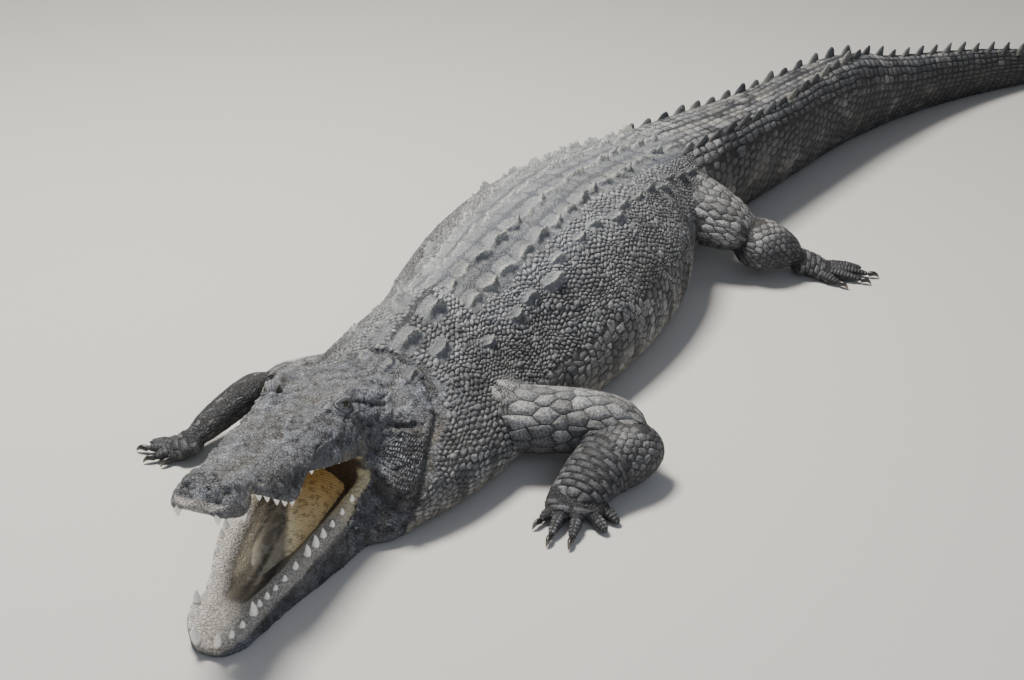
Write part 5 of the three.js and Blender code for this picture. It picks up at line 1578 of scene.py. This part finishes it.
# %% [markdown]
# ## Tongue
# The tongue is broad, fixed to the floor of the mouth, and golden, with fine ridges across it. A sine
# along its length makes the ridges, broken up by noise so that no two lie the same.
# %% Tongue
tongue_material, tree, shader = new_material("wet tongue skin, golden behind and grey in front",
    {"Roughness": 0.6, "Specular IOR Level": 0.3, "Subsurface Weight": 0.05})
mottle = cloudy(tree, 90.0, 5.0, Roughness=0.65).outputs["Fac"]
grey = mixed(tree, mark_of(tree, "tint"), "#4a453d", "#928b79")
grey = mixed(tree, times(tree, smoothness(tree, mottle, 0.44, 0.62), 0.4), grey, "#a8a398")
# On the tongue the pale mark is painted light: it turns the gold near-white toward the lit front, along the
# gold's edge and on the ridge crests.
gold = mixed(tree, mark_of(tree, "pale"), "#b98f45", "#fbf0c8")
gold = mixed(tree, times(tree, smoothness(tree, mottle, 0.50, 0.40), 0.5), gold, "#4a3414")
tree.links.new(mixed(tree, mark_of(tree, "worn"), grey, gold), shader.inputs["Base Color"])
bump(tree, shader, mottle, 0.8, 0.0016)
tongue_x = np.linspace(0.24, 0.97, 260)[:, None]
tongue_q = np.linspace(-1, 1, 81)[None, :]
floor_here = mouth_floor(tongue_x)
lift = floor_here + 0.001 + 0.037 * smooth(0.33, 0.60, tongue_x)
crown = lift * (1 - np.abs(tongue_q) ** 3) + (floor_here - 0.012) * np.abs(tongue_q) ** 3
tongue_points = table_of(tongue_x, tongue_q * (tongue_half_width(tongue_x) + 0.012), crown)
px, pout = tongue_points[..., 0], tongue_points[..., 1]
golden_edge = head_guide((340, 100), (400, 68), (520, 22), (630, -24), (750, -60), (900, -90))
golden = smooth(-0.010, 0.016, pout - golden_edge(px)) * smooth(0.36, 0.46, px) * smooth(0.90, 0.80, px)
wave = px + 0.010 * np.cos(16 * pout) + 0.004 * noise(tongue_points * HEAD, 22.0, 50)
ridges = np.sin(2 * np.pi * wave * HEAD / 5.0) * (0.5 + 0.5 * noise(tongue_points * HEAD * [1, 0.35, 1],
    9.0, 51))
rows_along = noise(np.stack([pout * HEAD, px * HEAD * 0.10, 0 * px], -1), 9.0, 52)
tongue_points[..., 2] += (0.0022 * ridges * golden + 0.0008 * rows_along * (1 - golden)) * (1 - tongue_q**6)
tongue_points[..., 2] += 0.006 * golden * (1 - np.abs(tongue_q) ** 3)
under = tongue_points.copy()
under[..., 2] = floor_here - 0.03
shell = np.concatenate([tongue_points, under[:, ::-1]], axis=1)
shell = capped(shell)
tongue = mesh_object("mouth_tongue", from_head(shell, "jaw").reshape(-1, 3), [grid_faces(*shell.shape[:2],
    wrap=True)])
face_out(tongue)


def on_shell(values):
    """Carries a mark from the top of the tongue to the whole closed shell."""
    whole = np.concatenate([values, values[:, ::-1]], axis=1)
    return clamp(np.concatenate([whole[:1], whole, whole[-1:]]))


# Painted light: the tongue is painted paler toward its lit front and along the edge of the gold, and paler on
# the crests of its ridges and darker between them.
front_lit = smooth(0.86, 0.55, px) * (0.55 + 0.45 * smooth(0.06, 0.0, pout - golden_edge(px)))
tongue_marks = {"worn": on_shell(golden), "tint": on_shell(0.5 + 0.6 * rows_along),
    "pale": on_shell(front_lit * 0.8 + 0.35 * ridges)}
finish_piece(tongue, tongue_material, ["tongue"], tongue_marks)

# %% [markdown]
# ## Eyes and lids
# The eye is small for the head and set deep under the brow: an olive-brown iris with a slit pupil,
# under two folded lids. The eye is a ball whose paint reads its own disc map, and the lids are a shell
# just outside it, cut open in an almond and thick at the rim.
# %% Eyes
iris_material, tree, shader = new_material("eye, olive iris under a clear cornea", {"Roughness": 0.12,
    "IOR": 1.376, "Coat Weight": 1.0})
disc = add(tree, "UVMap", uv_map="disc").outputs["UV"]
radial = add(tree, "VectorMath", {0: disc}, operation="LENGTH").outputs["Value"]
fibres_map = add(tree, "Mapping", {"Vector": disc, "Scale": (14.0, 14.0, 1.0)})
fibres = add(tree, "TexNoise", {"Vector": fibres_map.outputs["Vector"], "Scale": 1.0, "Detail": 6.0})
iris = ramp(tree, fibres.outputs["Fac"], (0.35, "#171609"), (0.68, "#453f24"))
slit_map = add(tree, "Mapping", {"Vector": disc, "Scale": (5.5, 1.25, 1.0)})
slit = add(tree, "VectorMath", {0: slit_map.outputs["Vector"]}, operation="LENGTH").outputs["Value"]
eye_colour = mixed(tree, smoothness(tree, slit, 0.42, 0.62), "#060504", iris)
eye_colour = mixed(tree, smoothness(tree, radial, 0.62, 0.80), eye_colour, "#211d14")
tree.links.new(eye_colour, shader.inputs["Base Color"])


def gaze_axes(side):
    """Forward-ish, up and outward axes of one eye in head space: the eye looks out, forward and up."""
    look = unit(np.array([-0.34, side * 1.0, 0.40]))
    level = unit(np.cross([0, 0, 1.0], look))
    upward = np.cross(look, level)
    tilt = side * math.radians(12)
    return (level * math.cos(tilt) + upward * math.sin(tilt), upward * math.cos(tilt) - level
        * math.sin(tilt), look)


def eye_and_lids(name, side):
    """The ball: polar angle a from the gaze, radius r. The lids: the same ball pushed out by a rim of 3
    percent, from the almond opening back to the socket."""
    level, upward, look = gaze_axes(side)
    hub = EYE_PLACE * [1, side, 1]
    polar = np.linspace(0, np.pi, 40)[:, None]
    round_eye = np.linspace(0, 2 * np.pi, 48, endpoint=False)[None, :]
    bulge = 1 + 0.05 * bell(polar, 0.5)

    def on_ball(a, t, r):
        a, t, r = a[..., None], t[..., None], r[..., None]
        ball = look * np.cos(a) + (level * np.cos(t) + upward * np.sin(t)) * np.sin(a)
        return from_head(hub + ball * r * EYE_RADIUS, "skull").reshape(-1, 3)

    a, t, r = np.broadcast_arrays(polar, round_eye, bulge)
    ball = mesh_object(name, on_ball(a, t, r), [grid_faces(*a.shape, wrap=True)])
    face_out(ball)
    layer = ball.data.uv_layers.new(name="disc")
    corners = np.empty(len(ball.data.loops), np.int32)
    ball.data.loops.foreach_get("vertex_index", corners)
    flat = np.stack([np.sin(a) * np.cos(t), np.sin(a) * np.sin(t)], -1).reshape(-1, 2)
    layer.data.foreach_set("uv", flat[corners].astype(np.float32).ravel())
    finish_piece(ball, iris_material, [name])

    s = np.linspace(0, 1, 34)[:, None]
    t = np.linspace(0, 2 * np.pi, 72, endpoint=False)[None, :]
    open_wide, open_high = 0.98, 0.30
    almond = 1 / np.hypot(np.cos(t) / open_wide, np.sin(t) / open_high)
    almond = almond * (1 - 0.12 * np.abs(np.cos(t)) ** 8)
    a = almond + (1.75 - almond) * s
    folds = 0.030 * np.cos((a - almond) * 21) * smooth(0.02, 0.10, s) * smooth(0.9, 0.5, s)
    upper = 0.10 * clamp(np.sin(t)) * smooth(0.0, 0.12, s)
    r = 1.0 + 0.13 * smooth(0.0, 0.06, s) + folds + upper - 0.20 * smooth(0.45, 1.0, s)
    r = r + 0.012 * noise(table_of(a * 12, 9 * np.cos(t), 9 * np.sin(t)), 1.5, 61)
    lid_points = on_ball(*np.broadcast_arrays(a, t, r))
    lids = mesh_object(name + "_lids", lid_points, [grid_faces(*a.shape, wrap=True)])
    face_out(lids)
    thick = lids.modifiers.new("lid thickness", "SOLIDIFY")
    thick.thickness, thick.offset = 0.0012, 0.0
    # The mark worn follows the lid folds: painted highlight on their crests and painted shade in their
    # troughs.
    marks = {"pale": 0.15, "warm": 0.25 * smooth(0.2, 0.02, s), "dark_tone_and_shade": 0.35 + 0.4 * smooth(0.1, 0.0, s),
        "worn": clamp(0.6 + folds * 10), "tint": 0.5}
    marks = {mark: np.broadcast_to(values, a.shape) for mark, values in marks.items()}
    finish_piece(lids, bare_scale, marks=marks)


bare_scale = hide_material("eyelid skin, fine folds", "#151515", "#595c61", "#a9acb0", 4.0, 0.5, 3.0, 0.8)
eye_and_lids("eye_left", 1)
eye_and_lids("eye_right", -1)

# %% [markdown]
# ## Claws
# Only the inner three toes of each foot have claws: dark curved horn with a worn pale tip. Each is a
# tube along a short bent path whose rings shrink to the point.
# %% Claws
claw_material, tree, shader = new_material("claw horn, dark with worn tips", {"Roughness": 0.38, "IOR": 1.55})
streak = cloudy(tree, 260.0, 4.0).outputs["Fac"]
worn_tip = times_plus(tree, streak, 0.35, mark_of(tree, "worn"))
horn = ramp(tree, worn_tip, (0.70, "#1d1a18"), (1.0, "#7f776a"))
tree.links.new(horn, shader.inputs["Base Color"])
bump(tree, shader, streak, 0.5, 0.0005)
CLAW_LENGTH = 18.0
CLAW_SIZES = [(0, 6.0, 6.5), (0.5, 4.4, 5.0), (1, 0.8, 1.0)]  # share of the length, half width, half height
for limb_name, limb in LIMBS.items():
    claw_points = []
    for toe_path in limb["toes"][:CLAWED_TOES]:
        tip, before = np.array(toe_path[-1], float), np.array(toe_path[-2], float)
        ahead = unit((tip - before) * [1, 1, 0])
        run = [tip * [1, 1, 0] + ahead * reach + [0, 0, height] for reach, height in ((-6, 10),
            (CLAW_LENGTH * 0.4, 12), (CLAW_LENGTH * 0.8, 8), (CLAW_LENGTH, 3))]
        table, _ = tube(run, CLAW_SIZES, rows=22, columns=14, blunt=5)
        claw_points.append(table[:, :-1])
    stack = np.array(claw_points)
    faces = many_grids(*stack.shape[:3], wrap=True)
    claws = mesh_object(limb_name + "_claws", stack.reshape(-1, 3), [faces])
    face_out(claws)
    along_claw = np.broadcast_to(np.linspace(0, 1, stack.shape[1])[None, :, None], stack.shape[:3])
    replaced = [f"{limb_name}_claw_{k + 1}" for k in range(CLAWED_TOES)]
    finish_piece(claws, claw_material, replaced, {"worn": along_claw})
